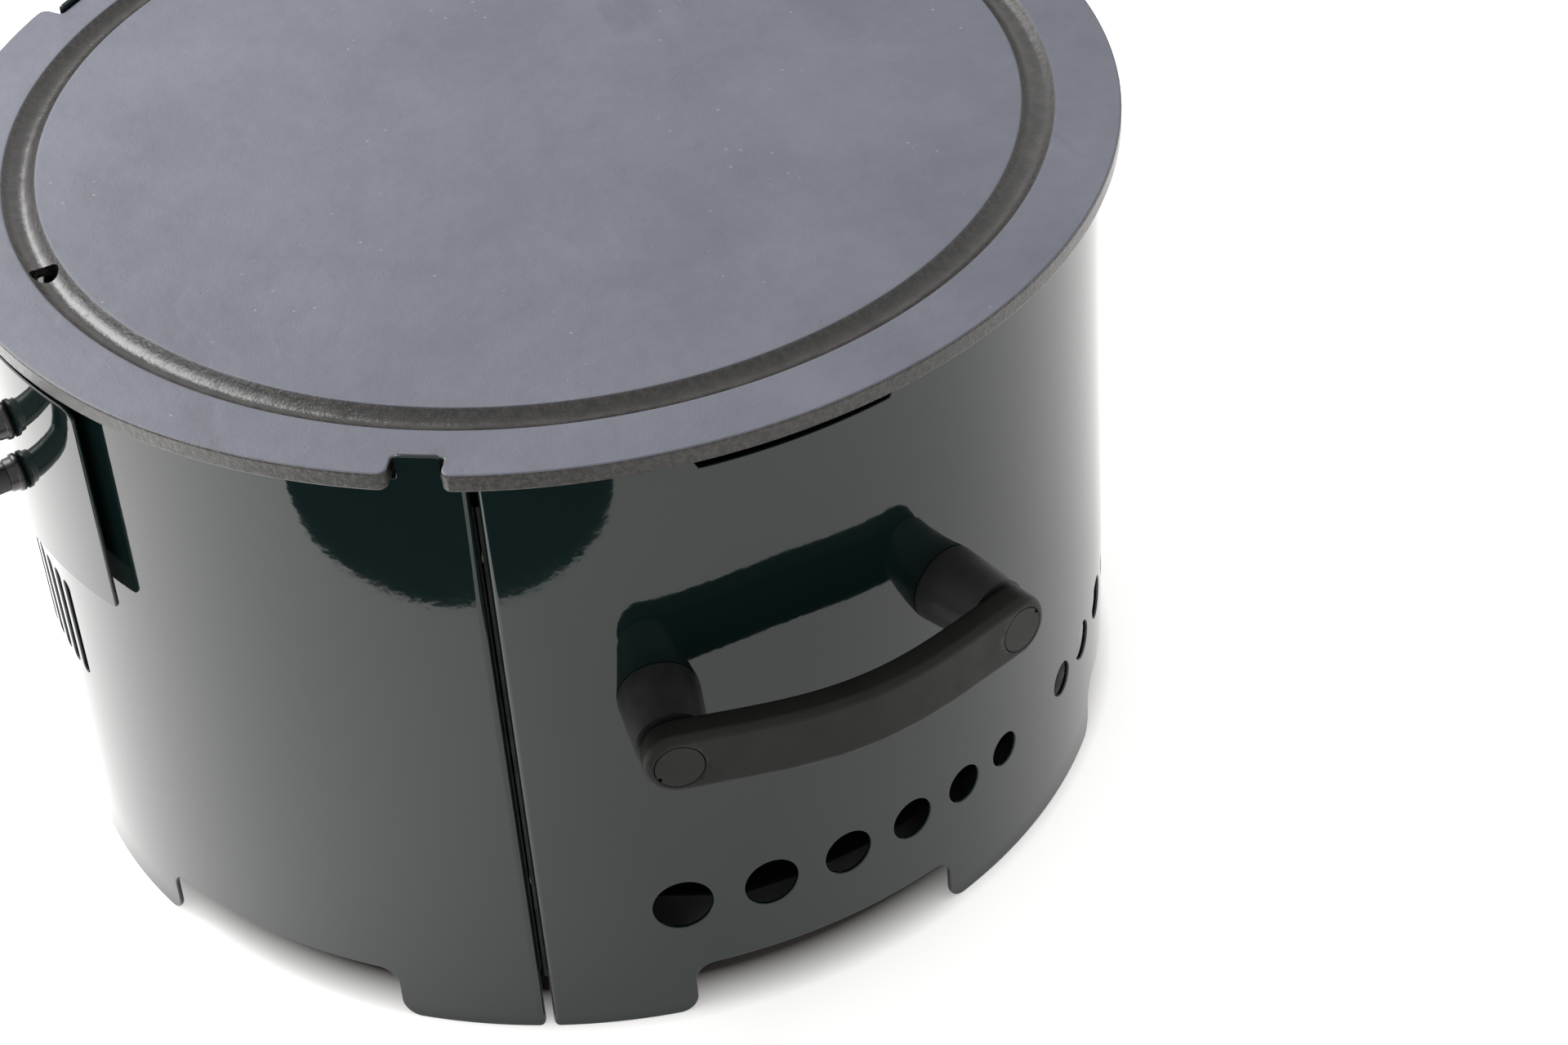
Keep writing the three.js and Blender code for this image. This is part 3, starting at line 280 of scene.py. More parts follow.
# ------------------------------------------------------------ materials
class Shader:
    """A Principled material whose colour, roughness and bump come from noise in object space."""

    def __init__(self, name, roughness, metallic=0.0, **constants):
        self.material = bpy.data.materials.new(name)
        self.material.use_nodes = True
        self.nodes = self.material.node_tree.nodes
        self.links = self.material.node_tree.links
        self.base = self.nodes["Principled BSDF"]
        self.base.inputs["Roughness"].default_value = roughness
        self.base.inputs["Metallic"].default_value = metallic
        for key, value in constants.items():
            self.base.inputs[key.replace("_", " ")].default_value = value
        self.coords = self.nodes.new("ShaderNodeTexCoord")
        self.height = None

    def noise(self, scale, detail=4.0, rough=0.55, distortion=0.0, stretch=None):
        made = self.nodes.new("ShaderNodeTexNoise")
        made.inputs["Scale"].default_value = scale
        made.inputs["Detail"].default_value = detail
        made.inputs["Roughness"].default_value = rough
        made.inputs["Distortion"].default_value = distortion
        source = self.coords.outputs["Object"]
        if stretch:
            scaled = self.nodes.new("ShaderNodeMapping")
            scaled.inputs["Scale"].default_value = stretch
            self.links.new(source, scaled.inputs["Vector"])
            source = scaled.outputs["Vector"]
        self.links.new(source, made.inputs["Vector"])
        return made.outputs["Fac"]

    def cells(self, scale):
        made = self.nodes.new("ShaderNodeTexVoronoi")
        made.inputs["Scale"].default_value = scale
        self.links.new(self.coords.outputs["Object"], made.inputs["Vector"])
        return made.outputs["Distance"]

    def ramp(self, value, low, high, first=0.0, last=1.0):
        made = self.nodes.new("ShaderNodeMapRange")
        for key, number in zip(("From Min", "From Max", "To Min", "To Max"), (low, high, first, last)):
            made.inputs[key].default_value = number
        self.links.new(value, made.inputs["Value"])
        return made.outputs["Result"]

    def mix(self, factor, first, second):
        made = self.nodes.new("ShaderNodeMix")
        made.data_type = "RGBA"
        self.links.new(factor, made.inputs["Factor"])
        for key, colour in ((6, first), (7, second)):
            if isinstance(colour, tuple):
                made.inputs[key].default_value = (*colour, 1)
            else:
                self.links.new(colour, made.inputs[key])
        return made.outputs[2]

    def times(self, first, second):
        made = self.nodes.new("ShaderNodeMath")
        made.operation = "MULTIPLY"
        self.links.new(first, made.inputs[0])
        self.links.new(second, made.inputs[1])
        return made.outputs["Value"]

    def colour(self, value):
        self.links.new(value, self.base.inputs["Base Color"])

    def rough(self, value):
        self.links.new(value, self.base.inputs["Roughness"])

    def bump(self, height, depth):
        """Adds a bump whose full height is the depth in metres."""
        made = self.nodes.new("ShaderNodeBump")
        made.inputs["Distance"].default_value = depth
        made.inputs["Strength"].default_value = 1.0
        self.links.new(height, made.inputs["Height"])
        if self.height:
            self.links.new(self.height, made.inputs["Normal"])
        self.height = made.outputs["Normal"]
        self.links.new(self.height, self.base.inputs["Normal"])

    def above(self, low, high):
        """0 below one height and 1 above the other."""
        apart = self.nodes.new("ShaderNodeSeparateXYZ")
        self.links.new(self.coords.outputs["Object"], apart.inputs["Vector"])
        return self.ramp(apart.outputs["Z"], low, high)

    def facing_up(self, low, high):
        """1 on level upward faces and 0 on upright ones."""
        geometry = self.nodes.new("ShaderNodeNewGeometry")
        apart = self.nodes.new("ShaderNodeSeparateXYZ")
        self.links.new(geometry.outputs["True Normal"], apart.inputs["Vector"])
        return self.ramp(apart.outputs["Z"], low, high)


def enamel():
    s = Shader("green_enamel", 0.045, IOR=1.5)
    s.colour(s.mix(s.ramp(s.noise(7, 3), 0.35, 0.65), (0.0026, 0.0070, 0.0069), (0.0034, 0.0086, 0.0083)))
    s.rough(s.ramp(s.noise(60, 5), 0.4, 0.75, 0.035, 0.06))
    s.bump(s.noise(260, 2, 0.4), 0.016 * MM)  # orange peel
    s.bump(s.noise(22, 1), 0.05 * MM)
    s.bump(s.ramp(s.cells(230), 0.0, 0.03, 1, 0), 0.010 * MM)  # a few fine specks
    return s.material


def griddle_iron():
    """Worn grey iron on the flat face, darker and glossier in the groove and on the rim."""
    s = Shader("griddle_iron", 0.55)
    worn = s.ramp(s.noise(13, 8, 0.68), 0.36, 0.66)
    plain = s.mix(worn, (0.084, 0.088, 0.114), (0.112, 0.116, 0.146))
    streak = s.ramp(s.noise(3, 4, 0.6, 1.5, (1, 7, 1)), 0.56, 0.64)
    scuff = s.times(streak, s.ramp(s.noise(14, 2), 0.5, 0.65))
    plain = s.mix(s.ramp(scuff, 0, 1, 0, 0.22), plain, (0.035, 0.035, 0.043))
    speck = s.times(s.ramp(s.cells(140), 0.06, 0.11, 1, 0), s.ramp(s.noise(23, 2), 0.55, 0.6))
    plain = s.mix(s.ramp(speck, 0, 1, 0, 0.55), plain, (0.27, 0.25, 0.23))
    rim = s.mix(s.ramp(s.noise(420, 6, 0.7), 0.42, 0.6), (0.006, 0.0055, 0.005), (0.030, 0.027, 0.024))
    groove = s.mix(s.ramp(s.noise(160, 5, 0.7), 0.4, 0.65), (0.014, 0.013, 0.012), (0.032, 0.029, 0.026))
    flat = s.facing_up(0.75, 0.98)
    on_face = s.above(PLATE_Z1 - 0.7 * MM, PLATE_Z1 - 0.1 * MM)
    s.colour(s.mix(flat, rim, s.mix(on_face, groove, plain)))
    s.rough(s.ramp(s.times(flat, on_face), 0, 1, 0.2, 0.55))
    pits = s.times(s.ramp(s.cells(170), 0.04, 0.14), s.ramp(s.noise(31, 2), 0.5, 0.6))
    not_flat = s.ramp(flat, 0, 1, 1, 0)
    s.bump(s.noise(900, 4, 0.6), 0.12 * MM)
    s.bump(s.noise(150, 4, 0.6), 0.22 * MM)
    s.bump(pits, 0.12 * MM)
    s.bump(s.times(s.noise(520, 5, 0.7), not_flat), 0.4 * MM)
    return s.material


def rough_iron(name, dark, light):
    s = Shader(name, 0.7, 0.2)
    s.colour(s.mix(s.ramp(s.noise(120, 6, 0.65), 0.35, 0.65), dark, light))
    s.rough(s.ramp(s.noise(60, 4), 0.35, 0.7, 0.55, 0.85))
    s.bump(s.noise(600, 5, 0.65), 0.25 * MM)
    return s.material


def moulded(name, dark, light, roughness, gloss, grain=0.03):
    s = Shader(name, roughness, IOR=1.48, Specular_IOR_Level=gloss)
    s.colour(s.mix(s.ramp(s.noise(38, 6, 0.62), 0.38, 0.64), dark, light))
    s.rough(s.ramp(s.noise(90, 5, 0.6), 0.35, 0.7, roughness - 0.05, roughness + 0.08))
    s.bump(s.noise(1500, 3, 0.6), grain * MM)
    s.bump(s.noise(260, 3), 0.02 * MM)
    return s.material


def painted(name, colour, roughness):
    s = Shader(name, roughness)
    lighter = tuple(1.35 * c for c in colour)
    s.colour(s.mix(s.ramp(s.noise(55, 4), 0.4, 0.65), colour, lighter))
    s.rough(s.ramp(s.noise(130, 5), 0.35, 0.7, roughness - 0.06, roughness + 0.1))
    s.bump(s.noise(700, 3), 0.02 * MM)
    return s.material


def bare_metal(name, dark, light, roughness):
    s = Shader(name, roughness, 0.9)
    s.colour(s.mix(s.ramp(s.noise(45, 6, 0.65), 0.35, 0.65), dark, light))
    s.rough(s.ramp(s.noise(160, 4), 0.35, 0.7, roughness - 0.08, roughness + 0.15))
    s.bump(s.noise(900, 3, 0.6), 0.03 * MM)
    return s.material


ENAMEL = enamel()
GRIDDLE = griddle_iron()
GRATE = rough_iron("grate_iron", (0.020, 0.018, 0.017), (0.045, 0.040, 0.036))
# near black: partly the sheet's own heat blackening, partly painted shade for the dark inside of the drum
# seen through holes and seams
PAN = painted("blackened_sheet_and_painted_shade", (0.0024, 0.0030, 0.0028), 0.5)
ZINC = bare_metal("zinc_plate", (0.40, 0.40, 0.39), (0.56, 0.56, 0.55), 0.32)
PULL = painted("pull_black", (0.0065, 0.0067, 0.0068), 0.30)
HINGE = painted("hinge_black", (0.010, 0.010, 0.011), 0.38)
GRIP = moulded("grip_plastic", (0.0058, 0.0055, 0.0048), (0.0076, 0.0073, 0.0064), 0.46, 0.2)
CAP = moulded("cap_plastic", (0.0062, 0.0060, 0.0053), (0.0076, 0.0074, 0.0066), 0.44, 0.22)
POST = moulded("post_plastic", (0.0060, 0.0063, 0.0063), (0.0150, 0.0153, 0.0153), 0.42, 0.4, 0.05)


# ------------------------------------------------------------ drum panels
BEND_CENTRE = DRUM_R - BEND_R
BEND_LAG = asin((SEAM_HALF + BEND_R) / BEND_CENTRE)
WALL_HALF = DRUM_R * (radians(PANEL_SPAN / 2) - BEND_LAG)  # along the wall, to where its bend starts
BEND_ARC = BEND_R * (pi / 2 + BEND_LAG)
FLANGE_LENGTH = BEND_CENTRE * cos(BEND_LAG) - FLANGE_END
WALL_STEPS = 84
BEND_STEPS = 10
PANEL_CORNER = 2 * MM
SKIRT_INSET = 0.4 * MM  # from the bend's end to the edge below the flange
TAB_CORNER = 1.4 * MM
TAB_ROOT = 1 * MM
RECESS_AT = 30  # degrees from a side panel's middle to the recess above its handle
RECESS_HALF = 44 * MM  # along the wall's top edge
RECESS_FLOOR_HALF = 39 * MM
RECESS_DEPTH = 8.6 * MM
HOLES = 6  # on each side of a side panel's middle
HOLE_HEIGHT = 60 * MM
FIRST_HOLE_AT = 24.6 * MM
FIRST_HOLE_WIDTH = 15.5 * MM
HOLE_GROWTH = 1.8 * MM
FIRST_PITCH = 26.2 * MM
PITCH_GROWTH = 2.6 * MM
OPENING_LAP = 11 * MM  # how far the door overlaps the fuel opening
OPENING_CORNER = 6 * MM
SLOT_HALF = 3 * MM
SLOT_CORNER = 2.999 * MM  # just under half the slot's width, so that no points coincide
SLOT_PITCH = 9.8 * MM
SLOT_LOW = 109 * MM
SLOT_TOP = 157 * MM


def panel_place(azimuth):
    """Bends a flat pattern into a wall whose two ends turn inwards as flanges."""
    wall = on_wall(azimuth, DRUM_R)

    def place(x, y, z):
        side = 1 if x > 0 else -1
        past = abs(x) - WALL_HALF
        if past <= 0:
            return wall(x, y, z)
        start = radians(azimuth) + side * WALL_HALF / DRUM_R
        centre = AXIS + directions(start)[2] * BEND_CENTRE
        turn = min(past / BEND_R, BEND_ARC / BEND_R)
        across, up, out = directions(start + side * turn)
        spot = centre + out * (BEND_R + z) + up * y
        return spot + across * side * max(0.0, past - BEND_ARC), across, up, out
    return place


def tab_outline(x):
    """A locating tab on the wall's top edge, from right to left."""
    right, left = x + TAB_HALF, x - TAB_HALF
    points = arc(right + TAB_ROOT, DRUM_TOP + TAB_ROOT, TAB_ROOT, 270, 180, 3)
    points += arc(right - TAB_CORNER, TAB_TOP - TAB_CORNER, TAB_CORNER, 0, 90, 4)
    points += arc(left + TAB_CORNER, TAB_TOP - TAB_CORNER, TAB_CORNER, 90, 180, 4)
    return points + arc(left - TAB_ROOT, DRUM_TOP + TAB_ROOT, TAB_ROOT, 0, -90, 3)


def recess_outline(x):
    """A shallow recess in the wall's top edge, from right to left."""
    floor = DRUM_TOP - RECESS_DEPTH
    points = [(x + RECESS_HALF, DRUM_TOP), (x + RECESS_FLOOR_HALF, floor)]
    return points + [(x - RECESS_FLOOR_HALF, floor), (x - RECESS_HALF, DRUM_TOP)]


def panel_edge(recesses, tabs):
    """The flat pattern of a panel, anticlockwise as seen from outside."""
    end = WALL_HALF + BEND_ARC + FLANGE_LENGTH
    skirt = WALL_HALF + BEND_ARC - SKIRT_INSET
    quarter = DRUM_R * radians(PANEL_SPAN / 4)
    half_arch = quarter - FOOT_HALF
    c, r, top = PANEL_CORNER, FOOT_FILLET, FOOT_HEIGHT
    points = arc(-end + c, FLANGE_LOW + c, c, 180, 270, 3)
    points += arc(-skirt - c, FLANGE_LOW - c, c, 90, 0, 4)
    points += arc(-skirt + SEAM_CORNER, SEAM_CORNER, SEAM_CORNER, 180, 270, 6)
    for middle in (-quarter, quarter):
        left, right = middle - half_arch, middle + half_arch
        points += arc(left - r, r, r, -90, 0) + arc(left + r, top - r, r, 180, 90)
        points += arc(right - r, top - r, r, 90, 0) + arc(right + r, r, r, 180, 270)
    points += arc(skirt - SEAM_CORNER, SEAM_CORNER, SEAM_CORNER, 270, 360, 6)
    points += arc(skirt + c, FLANGE_LOW - c, c, 180, 90, 4)
    points += arc(end - c, FLANGE_LOW + c, c, 270, 360, 3)
    points += arc(end - c, DRUM_TOP - c, c, 0, 90, 3)
    features = [(DRUM_R * radians(at), tab_outline) for at in tabs]
    features += [(DRUM_R * radians(at), recess_outline) for at in recesses]
    for x, outline in sorted(features, key=lambda feature: -feature[0]):
        points += outline(x)
    return points + arc(-end + c, DRUM_TOP - c, c, 90, 180, 3)


def air_holes():
    """A row on each side of the panel's middle, larger and further apart towards the panel's ends."""
    holes = []
    at = FIRST_HOLE_AT
    for i in range(HOLES):
        r = (FIRST_HOLE_WIDTH + HOLE_GROWTH * i) / 2
        holes += [circle(-at, HOLE_HEIGHT, r), circle(at, HOLE_HEIGHT, r)]
        at += FIRST_PITCH + PITCH_GROWTH * i
    return holes


def front_cuts():
    """The fuel opening behind the door and the five upright slots below it."""
    half = (DOOR_HALF - OPENING_LAP) * DRUM_R / (DOOR_R - SHEET)
    cuts = [rounded_rect(-half, DOOR_Z0 + OPENING_LAP, half, DOOR_Z1 - OPENING_LAP, OPENING_CORNER)]
    for i in range(-2, 3):
        x = i * SLOT_PITCH
        cuts.append(rounded_rect(x - SLOT_HALF, SLOT_LOW, x + SLOT_HALF, SLOT_TOP, SLOT_CORNER))
    return cuts


def panel(name, azimuth, cuts, recesses, tabs):
    bm = slab(panel_edge(recesses, tabs), cuts, SHEET, SHEET_EDGE)
    lines = [WALL_HALF * (2 * i / WALL_STEPS - 1) for i in range(WALL_STEPS + 1)]
    for side in (-1, 1):
        lines += [side * (WALL_HALF + BEND_ARC * i / BEND_STEPS) for i in range(1, BEND_STEPS + 1)]
    cut_across(bm, lines)
    obj = bent(bm, name + "_sheet", panel_place(azimuth))
    given(obj, "drum", "enamel", ENAMEL, name)


panel("front_panel", FRONT_AZ, front_cuts(), [], [-TAB_AT, TAB_AT])
panel("right_panel", FRONT_AZ + PANEL_SPAN, air_holes(), [-RECESS_AT], [TAB_AT])
panel("left_panel", FRONT_AZ + 2 * PANEL_SPAN, air_holes(), [RECESS_AT], [-TAB_AT])


# ------------------------------------------------------------ griddle plate
GROOVE_IN = 198.2 * MM
GROOVE_OUT = 210.8 * MM
GROOVE_DEPTH = 3.6 * MM
GROOVE_SIDES = 256
LIP_DROP = 0.45 * MM
RIM_EDGE = 0.9 * MM
RIM_STEP = radians(1.2)
DRAIN_R = 5.6 * MM
NOTCH_CLEAR = 1.25 * MM  # beside a tab
NOTCH_BEHIND = 0.6 * MM  # between a tab's inner face and the notch's floor
NOTCH_CORNER = 4 * MM
NOTCH_FILLET = 1.2 * MM
NOTCH_MARGIN = radians(0.3)  # from a notch's corner to the rim's next point


def notch(tab_half):
    """The outline of a notch at azimuth 0, anticlockwise as seen from above."""
    half = tab_half + NOTCH_CLEAR
    floor = sqrt((DRUM_R - SHEET) ** 2 - tab_half ** 2) - NOTCH_BEHIND
    mouth = sqrt(PLATE_R ** 2 - (half + NOTCH_CORNER) ** 2) - NOTCH_CORNER
    points = arc(mouth, -half - NOTCH_CORNER, NOTCH_CORNER, 15, 90, 5)
    points += arc(floor + NOTCH_FILLET, -half + NOTCH_FILLET, NOTCH_FILLET, 270, 180, 4)
    return points + [(x, -y) for x, y in reversed(points)]


def notch_half_angle(tab_half):
    """Half of the angle that a notch takes out of the rim, in radians."""
    return asin((tab_half + NOTCH_CLEAR + NOTCH_CORNER) / PLATE_R) + NOTCH_MARGIN


def plate_outline():
    """A circle with a notch for each front tab and one wider notch for the two rear tabs."""
    rear_pair = DRUM_R * sin(radians(REAR_TAB_AT)) + TAB_HALF
    notches = [(FRONT_AZ - TAB_AT, TAB_HALF), (FRONT_AZ + TAB_AT, TAB_HALF), (FRONT_AZ + 180, rear_pair)]
    points = []
    for (azimuth, tab_half), (next_azimuth, next_half) in zip(notches, notches[1:] + notches[:1]):
        turn = Matrix.Rotation(radians(azimuth), 2)
        points += [tuple(turn @ Vector(p)) for p in notch(tab_half)]
        begin = radians(azimuth) + notch_half_angle(tab_half)
        end = radians(next_azimuth) - notch_half_angle(next_half)
        while end < begin:
            end += 2 * pi
        steps = int((end - begin) / RIM_STEP)
        points += arc(0, 0, PLATE_R, degrees(begin), degrees(end), steps)
    return cleaned(points)


def groove_rings():
    """(radius, height) of the top face from outside the groove to inside it, with softened lips."""
    middle, half = (GROOVE_IN + GROOVE_OUT) / 2, (GROOVE_OUT - GROOVE_IN) / 2
    lip = [(1.6 * MM, 0.0), (1.1 * MM, 0.0), (0.5 * MM, -0.10 * MM), (0.0, -LIP_DROP)]
    rings = [(GROOVE_OUT + out, height) for out, height in lip]
    for i in range(1, 12):
        t = 1 - i / 6
        near_lip = abs(t) ** 2.2
        rings.append((middle + half * t, -GROOVE_DEPTH * (1 - near_lip) - LIP_DROP * near_lip))
    return rings + [(GROOVE_IN - out, height) for out, height in reversed(lip)]


def plate_side(bm):
    """The rings of points up the plate's edge, which is rounded at its bottom and top."""
    outline = plate_outline()
    steps = [(RIM_EDGE, PLATE_Z0), (0.3 * RIM_EDGE, PLATE_Z0 + 0.3 * RIM_EDGE), (0.0, PLATE_Z0 + RIM_EDGE)]
    steps += [(off, PLATE_Z0 + PLATE_Z1 - z) for off, z in reversed(steps)]
    rings = []
    for off, z in steps:
        points = inset(outline, off) if off else outline
        rings.append([bm.verts.new((x, y, z)) for x, y in points])
    return rings


def plate_top(bm):
    """The rings of points from the groove's outer lip to near the plate's middle."""
    turns = [2 * pi * i / GROOVE_SIDES for i in range(GROOVE_SIDES)]
    rings = []
    for radius, height in groove_rings() + [(part * GROOVE_IN, 0.0) for part in (0.8, 0.5, 0.2)]:
        rings.append([bm.verts.new((radius * cos(a), radius * sin(a), PLATE_Z1 + height)) for a in turns])
    return rings


def griddle_plate():
    bm = bmesh.new()
    side = plate_side(bm)
    joined(bm, side)
    top = plate_top(bm)
    joined(bm, top)
    bm.faces.new(top[-1])
    filled(bm, [side[-1], top[0]], 1)
    filled(bm, [side[0]], -1)
    bmesh.ops.recalc_face_normals(bm, faces=bm.faces)
    bmesh.ops.translate(bm, verts=bm.verts, vec=AXIS)
    obj = finished(bm, "griddle_casting")
    drain = AXIS + Vector((0, -(GROOVE_IN + GROOVE_OUT) / 2, PLATE_Z0))
    through = [(-1, 0), (-1, DRAIN_R), (1, DRAIN_R), (1, 0)]
    drilled(obj, lathe("drill", through, drain, Vector((0, 0, 1)), 40))
    crisp(obj, 20)
    given(obj, "griddle", "griddle_iron", GRIDDLE, "griddle_plate")


griddle_plate()


# ------------------------------------------------------------ fuel door and pull
DOOR_STEPS = 48
DOOR_CORNER_LOW = 3 * MM
DOOR_CORNER_TOP = 6 * MM
PULL_R = 6 * MM
PULL_SIDES = 28
PULL_BEND = 12.5 * MM
PULL_START = 6.6 * MM  # from the door's face to the rod's ends
PULL_REACH = 40 * MM  # from the door's face to the rod's middle line


def fuel_door():
    outline = rounded_rect(-DOOR_HALF, DOOR_Z0, DOOR_HALF, DOOR_Z1, DOOR_CORNER_LOW, DOOR_CORNER_TOP)
    bm = slab(outline, [], SHEET, SHEET_EDGE)
    cut_across(bm, [DOOR_HALF * (2 * i / DOOR_STEPS - 1) for i in range(1, DOOR_STEPS)])
    given(bent(bm, "fuel_door_sheet", on_wall(FRONT_AZ, DOOR_R)), "door", "enamel", ENAMEL, "fuel_door")


def pull_path():
    """The rod's middle line as (distance from the drum's axis, height from the pull's middle)."""
    start, bend_start = DOOR_R + PULL_START, DOOR_R + PULL_REACH - PULL_BEND
    leg = [start + (bend_start - start) * i / 4 for i in range(4)]
    path = [(x, -PULL_BEND) for x in leg] + arc(bend_start, 0, PULL_BEND, -90, 90, 20)
    return path + [(x, PULL_BEND) for x in reversed(leg)]


def pull_rod(across, up, out):
    """A round rod bent to a U lying on its side, with one leg above the other."""
    path = [Vector(p) for p in pull_path()]
    turns = [2 * pi * k / PULL_SIDES for k in range(PULL_SIDES)]
    bm = bmesh.new()
    rings = []
    for i, spot in enumerate(path):
        along = (path[min(len(path) - 1, i + 1)] - path[max(0, i - 1)]).normalized()
        flat = out * -along.y + up * along.x
        centre = AXIS + out * spot.x + up * (PULL_Z + spot.y)
        rings.append([bm.verts.new(centre + (flat * cos(a) + across * sin(a)) * PULL_R) for a in turns])
    joined(bm, rings)
    bm.faces.new(rings[0])
    bm.faces.new(rings[-1])
    bmesh.ops.recalc_face_normals(bm, faces=bm.faces)
    given(crisp(finished(bm, "pull_rod"), 50), "door", "pull_steel", PULL, "door_pull")


def door_pull():
    across, up, out = directions(radians(PULL_AZ))
    pull_rod(across, up, out)
    for tag, z in (("lower", -PULL_BEND), ("upper", PULL_BEND)):
        base = AXIS + up * (PULL_Z + z) + out * (DOOR_R + GAP)
        sizes = [(0, 0), (0, 7.2), (0.5, 7.7), (2.2, 7.7), (2.7, 7.2)]
        sizes += [(3.0, 6.9), (5.4, 6.8), (6.0, 6.3), (6.0, 0)]
        collar = lathe("pull_collar_" + tag, [(a * MM, b * MM) for a, b in sizes], base, out, 48)
        given(crisp(collar, 50), "door", "pull_steel", PULL, "door_pull_collar_" + tag)


fuel_door()
door_pull()


# ------------------------------------------------------------ side handles
GRIP_EDGE = 3.4 * MM
GRIP_STEPS = 60
POCKET_R = 9.75 * MM
POCKET_DEPTH = 2.9 * MM
CAP_R = 9.35 * MM
CAP_THICK = 2.6 * MM
CAP_EDGE = 0.3 * MM
CAP_NICK = 1 * MM
POST_FOOT_R = 16 * MM
POST_TIP_R = 14.2 * MM
POST_SIDES = 64


def grip_place(azimuth):
    """Bends the grip round the drum, bowed outwards between its posts."""
    half = radians(HANDLE_HALF)

    def place(x, y, z):
        angle = x / (GRIP_IN + GRIP_T)
        t = max(-1.0, min(1.0, angle / half))
        reach = GRIP_IN + GRIP_BOW * (1 + cos(pi * t)) / 2
        slope = -GRIP_BOW * pi * sin(pi * t) / 2 / half / reach
        across, up, out = directions(radians(azimuth) + angle)
        return (AXIS + out * (reach + GRIP_T + z) + up * (HANDLE_Z + y),
                (across + out * slope).normalized(), up, (out - across * slope).normalized())
    return place


def side_handle(side, azimuth):
    """A grip with a post behind each end and a cap in each of its pockets."""
    reach = GRIP_IN + GRIP_T
    post_at = reach * radians(HANDLE_HALF)
    r = GRIP_H / 2
    outline = arc(post_at, 0, r, -90, 90, 24) + arc(-post_at, 0, r, 90, 270, 24)
    grip = slab(outline, [], GRIP_T, GRIP_EDGE, 6)
    cut_across(grip, [post_at * 1.25 * (2 * i / GRIP_STEPS - 1) for i in range(GRIP_STEPS + 1)])
    obj = bent(grip, side + "_grip_moulding", grip_place(azimuth))
    floor, above = reach - POCKET_DEPTH, reach + GRIP_T
    pocket = [(floor, 0), (floor, POCKET_R), (above, POCKET_R), (above, 0)]
    for tag, at, nick_at in (("a", -HANDLE_HALF, 210), ("b", HANDLE_HALF, 30)):
        across, up, out = directions(radians(azimuth + at))
        drilled(obj, lathe("drill", pocket, AXIS + up * HANDLE_Z, out))
        post(side, tag, azimuth + at)
        cap(side, tag, azimuth + at, nick_at)
    crisp(obj, 38)
    given(obj, "drum", "grip_plastic", GRIP, side + "_handle_grip")


def post(side, tag, azimuth):
    """A tapered spacer that stands on the curved wall."""
    across, up, out = directions(radians(azimuth))
    turns = [2 * pi * i / POST_SIDES for i in range(POST_SIDES)]
    tip = sqrt(GRIP_IN ** 2 - POST_TIP_R ** 2) - GAP
    rows = [(0.0, 0.5 * MM), (0.0, 0.175 * MM), (0.03, 0.0), (0.35, 0.0), (0.7, 0.0), (1.0, 0.0)]
    bm = bmesh.new()
    rings = []
    for t, smaller in rows:
        r = POST_FOOT_R * (1 - t) + POST_TIP_R * t - smaller
        ring = []
        for a in turns:
            foot = sqrt((DRUM_R + GAP) ** 2 - (r * cos(a)) ** 2)
            reach = foot + (tip - foot) * t
            level = AXIS + up * (HANDLE_Z + r * sin(a))
            ring.append(bm.verts.new(level + out * reach + across * r * cos(a)))
        rings.append(ring)
    joined(bm, rings)
    bm.faces.new(rings[0])
    bm.faces.new(rings[-1])
    bmesh.ops.recalc_face_normals(bm, faces=bm.faces)
    obj = crisp(finished(bm, f"{side}_post_spacer_{tag}"), 50)
    given(obj, "drum", "post_plastic", POST, f"{side}_handle_post_{tag}")


def cap(side, tag, azimuth, nick_at):
    """A round plug, flush with the grip, with a small nick in its edge to pry it out."""
    start = nick_at + 5
    rim = arc(0, 0, CAP_R, start, start + 350, 70)
    first, last = Vector(rim[0]), Vector(rim[-1])
    inward = -(first + last).normalized()
    rim += [tuple(last + inward * CAP_NICK), tuple(first + inward * CAP_NICK)]
    bm = slab(rim, [], CAP_THICK, CAP_EDGE)
    obj = bent(bm, f"{side}_cap_plug_{tag}", on_radius(azimuth, GRIP_IN + GRIP_T, HANDLE_Z))
    given(obj, "drum", "cap_plastic", CAP, f"{side}_handle_cap_{tag}")


side_handle("right", 0)
side_handle("left", 180)


# ------------------------------------------------------------ CAD pieces that keep their shape
def kept(prefixes, material):
    for name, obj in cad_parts.items():
        if name.startswith(prefixes):
            obj.data.materials.clear()
            obj.data.materials.append(material)
            for polygon in obj.data.polygons:
                polygon.material_index = 0
            crisp(obj, 32)


kept(("charcoal_grate", "grate_leg"), GRATE)
kept(("ash_pan", "seam_rib"), PAN)
kept(("seam_screw", "seam_nut", "door_pull_screw", "right_handle_screw", "right_handle_nut",
      "left_handle_screw", "left_handle_nut"), ZINC)
kept(("hinge_",), HINGE)


# ------------------------------------------------------------ studio
# the direction in which the floor's painted glow, standing in for light, grows stronger
PAINTED_GLOW_SIDE = (-0.7, -0.714, 0)  # towards the front left
FLOOR_R = 9
# where the dark card of painted shade lies on the floor in front of the grill
CARD_AZ = radians(-42.6)
CARD_NEAR = 0.49
CARD_DEPTH = 0.5
CARD_LEFT = -0.26
CARD_RIGHT = 0.30
CARD_CORNER = 0.09
CARD_HEIGHT = 0.002
CAMERA_PLACE = (1.0930, -0.3944, 1.0084)
CAMERA_AIM = (0.1879, 0.0332, 0.2)
CAMERA_ROLL = -4.26
CAMERA_LENS = 77.6


def flat_card(name, points, height, material):
    mesh = bpy.data.meshes.new(name)
    mesh.from_pydata([(x, y, height) for x, y in points], [], [list(range(len(points)))])
    mesh.materials.append(material)
    obj = bpy.data.objects.new(name, mesh)
    bpy.context.scene.collection.objects.link(obj)
    return obj


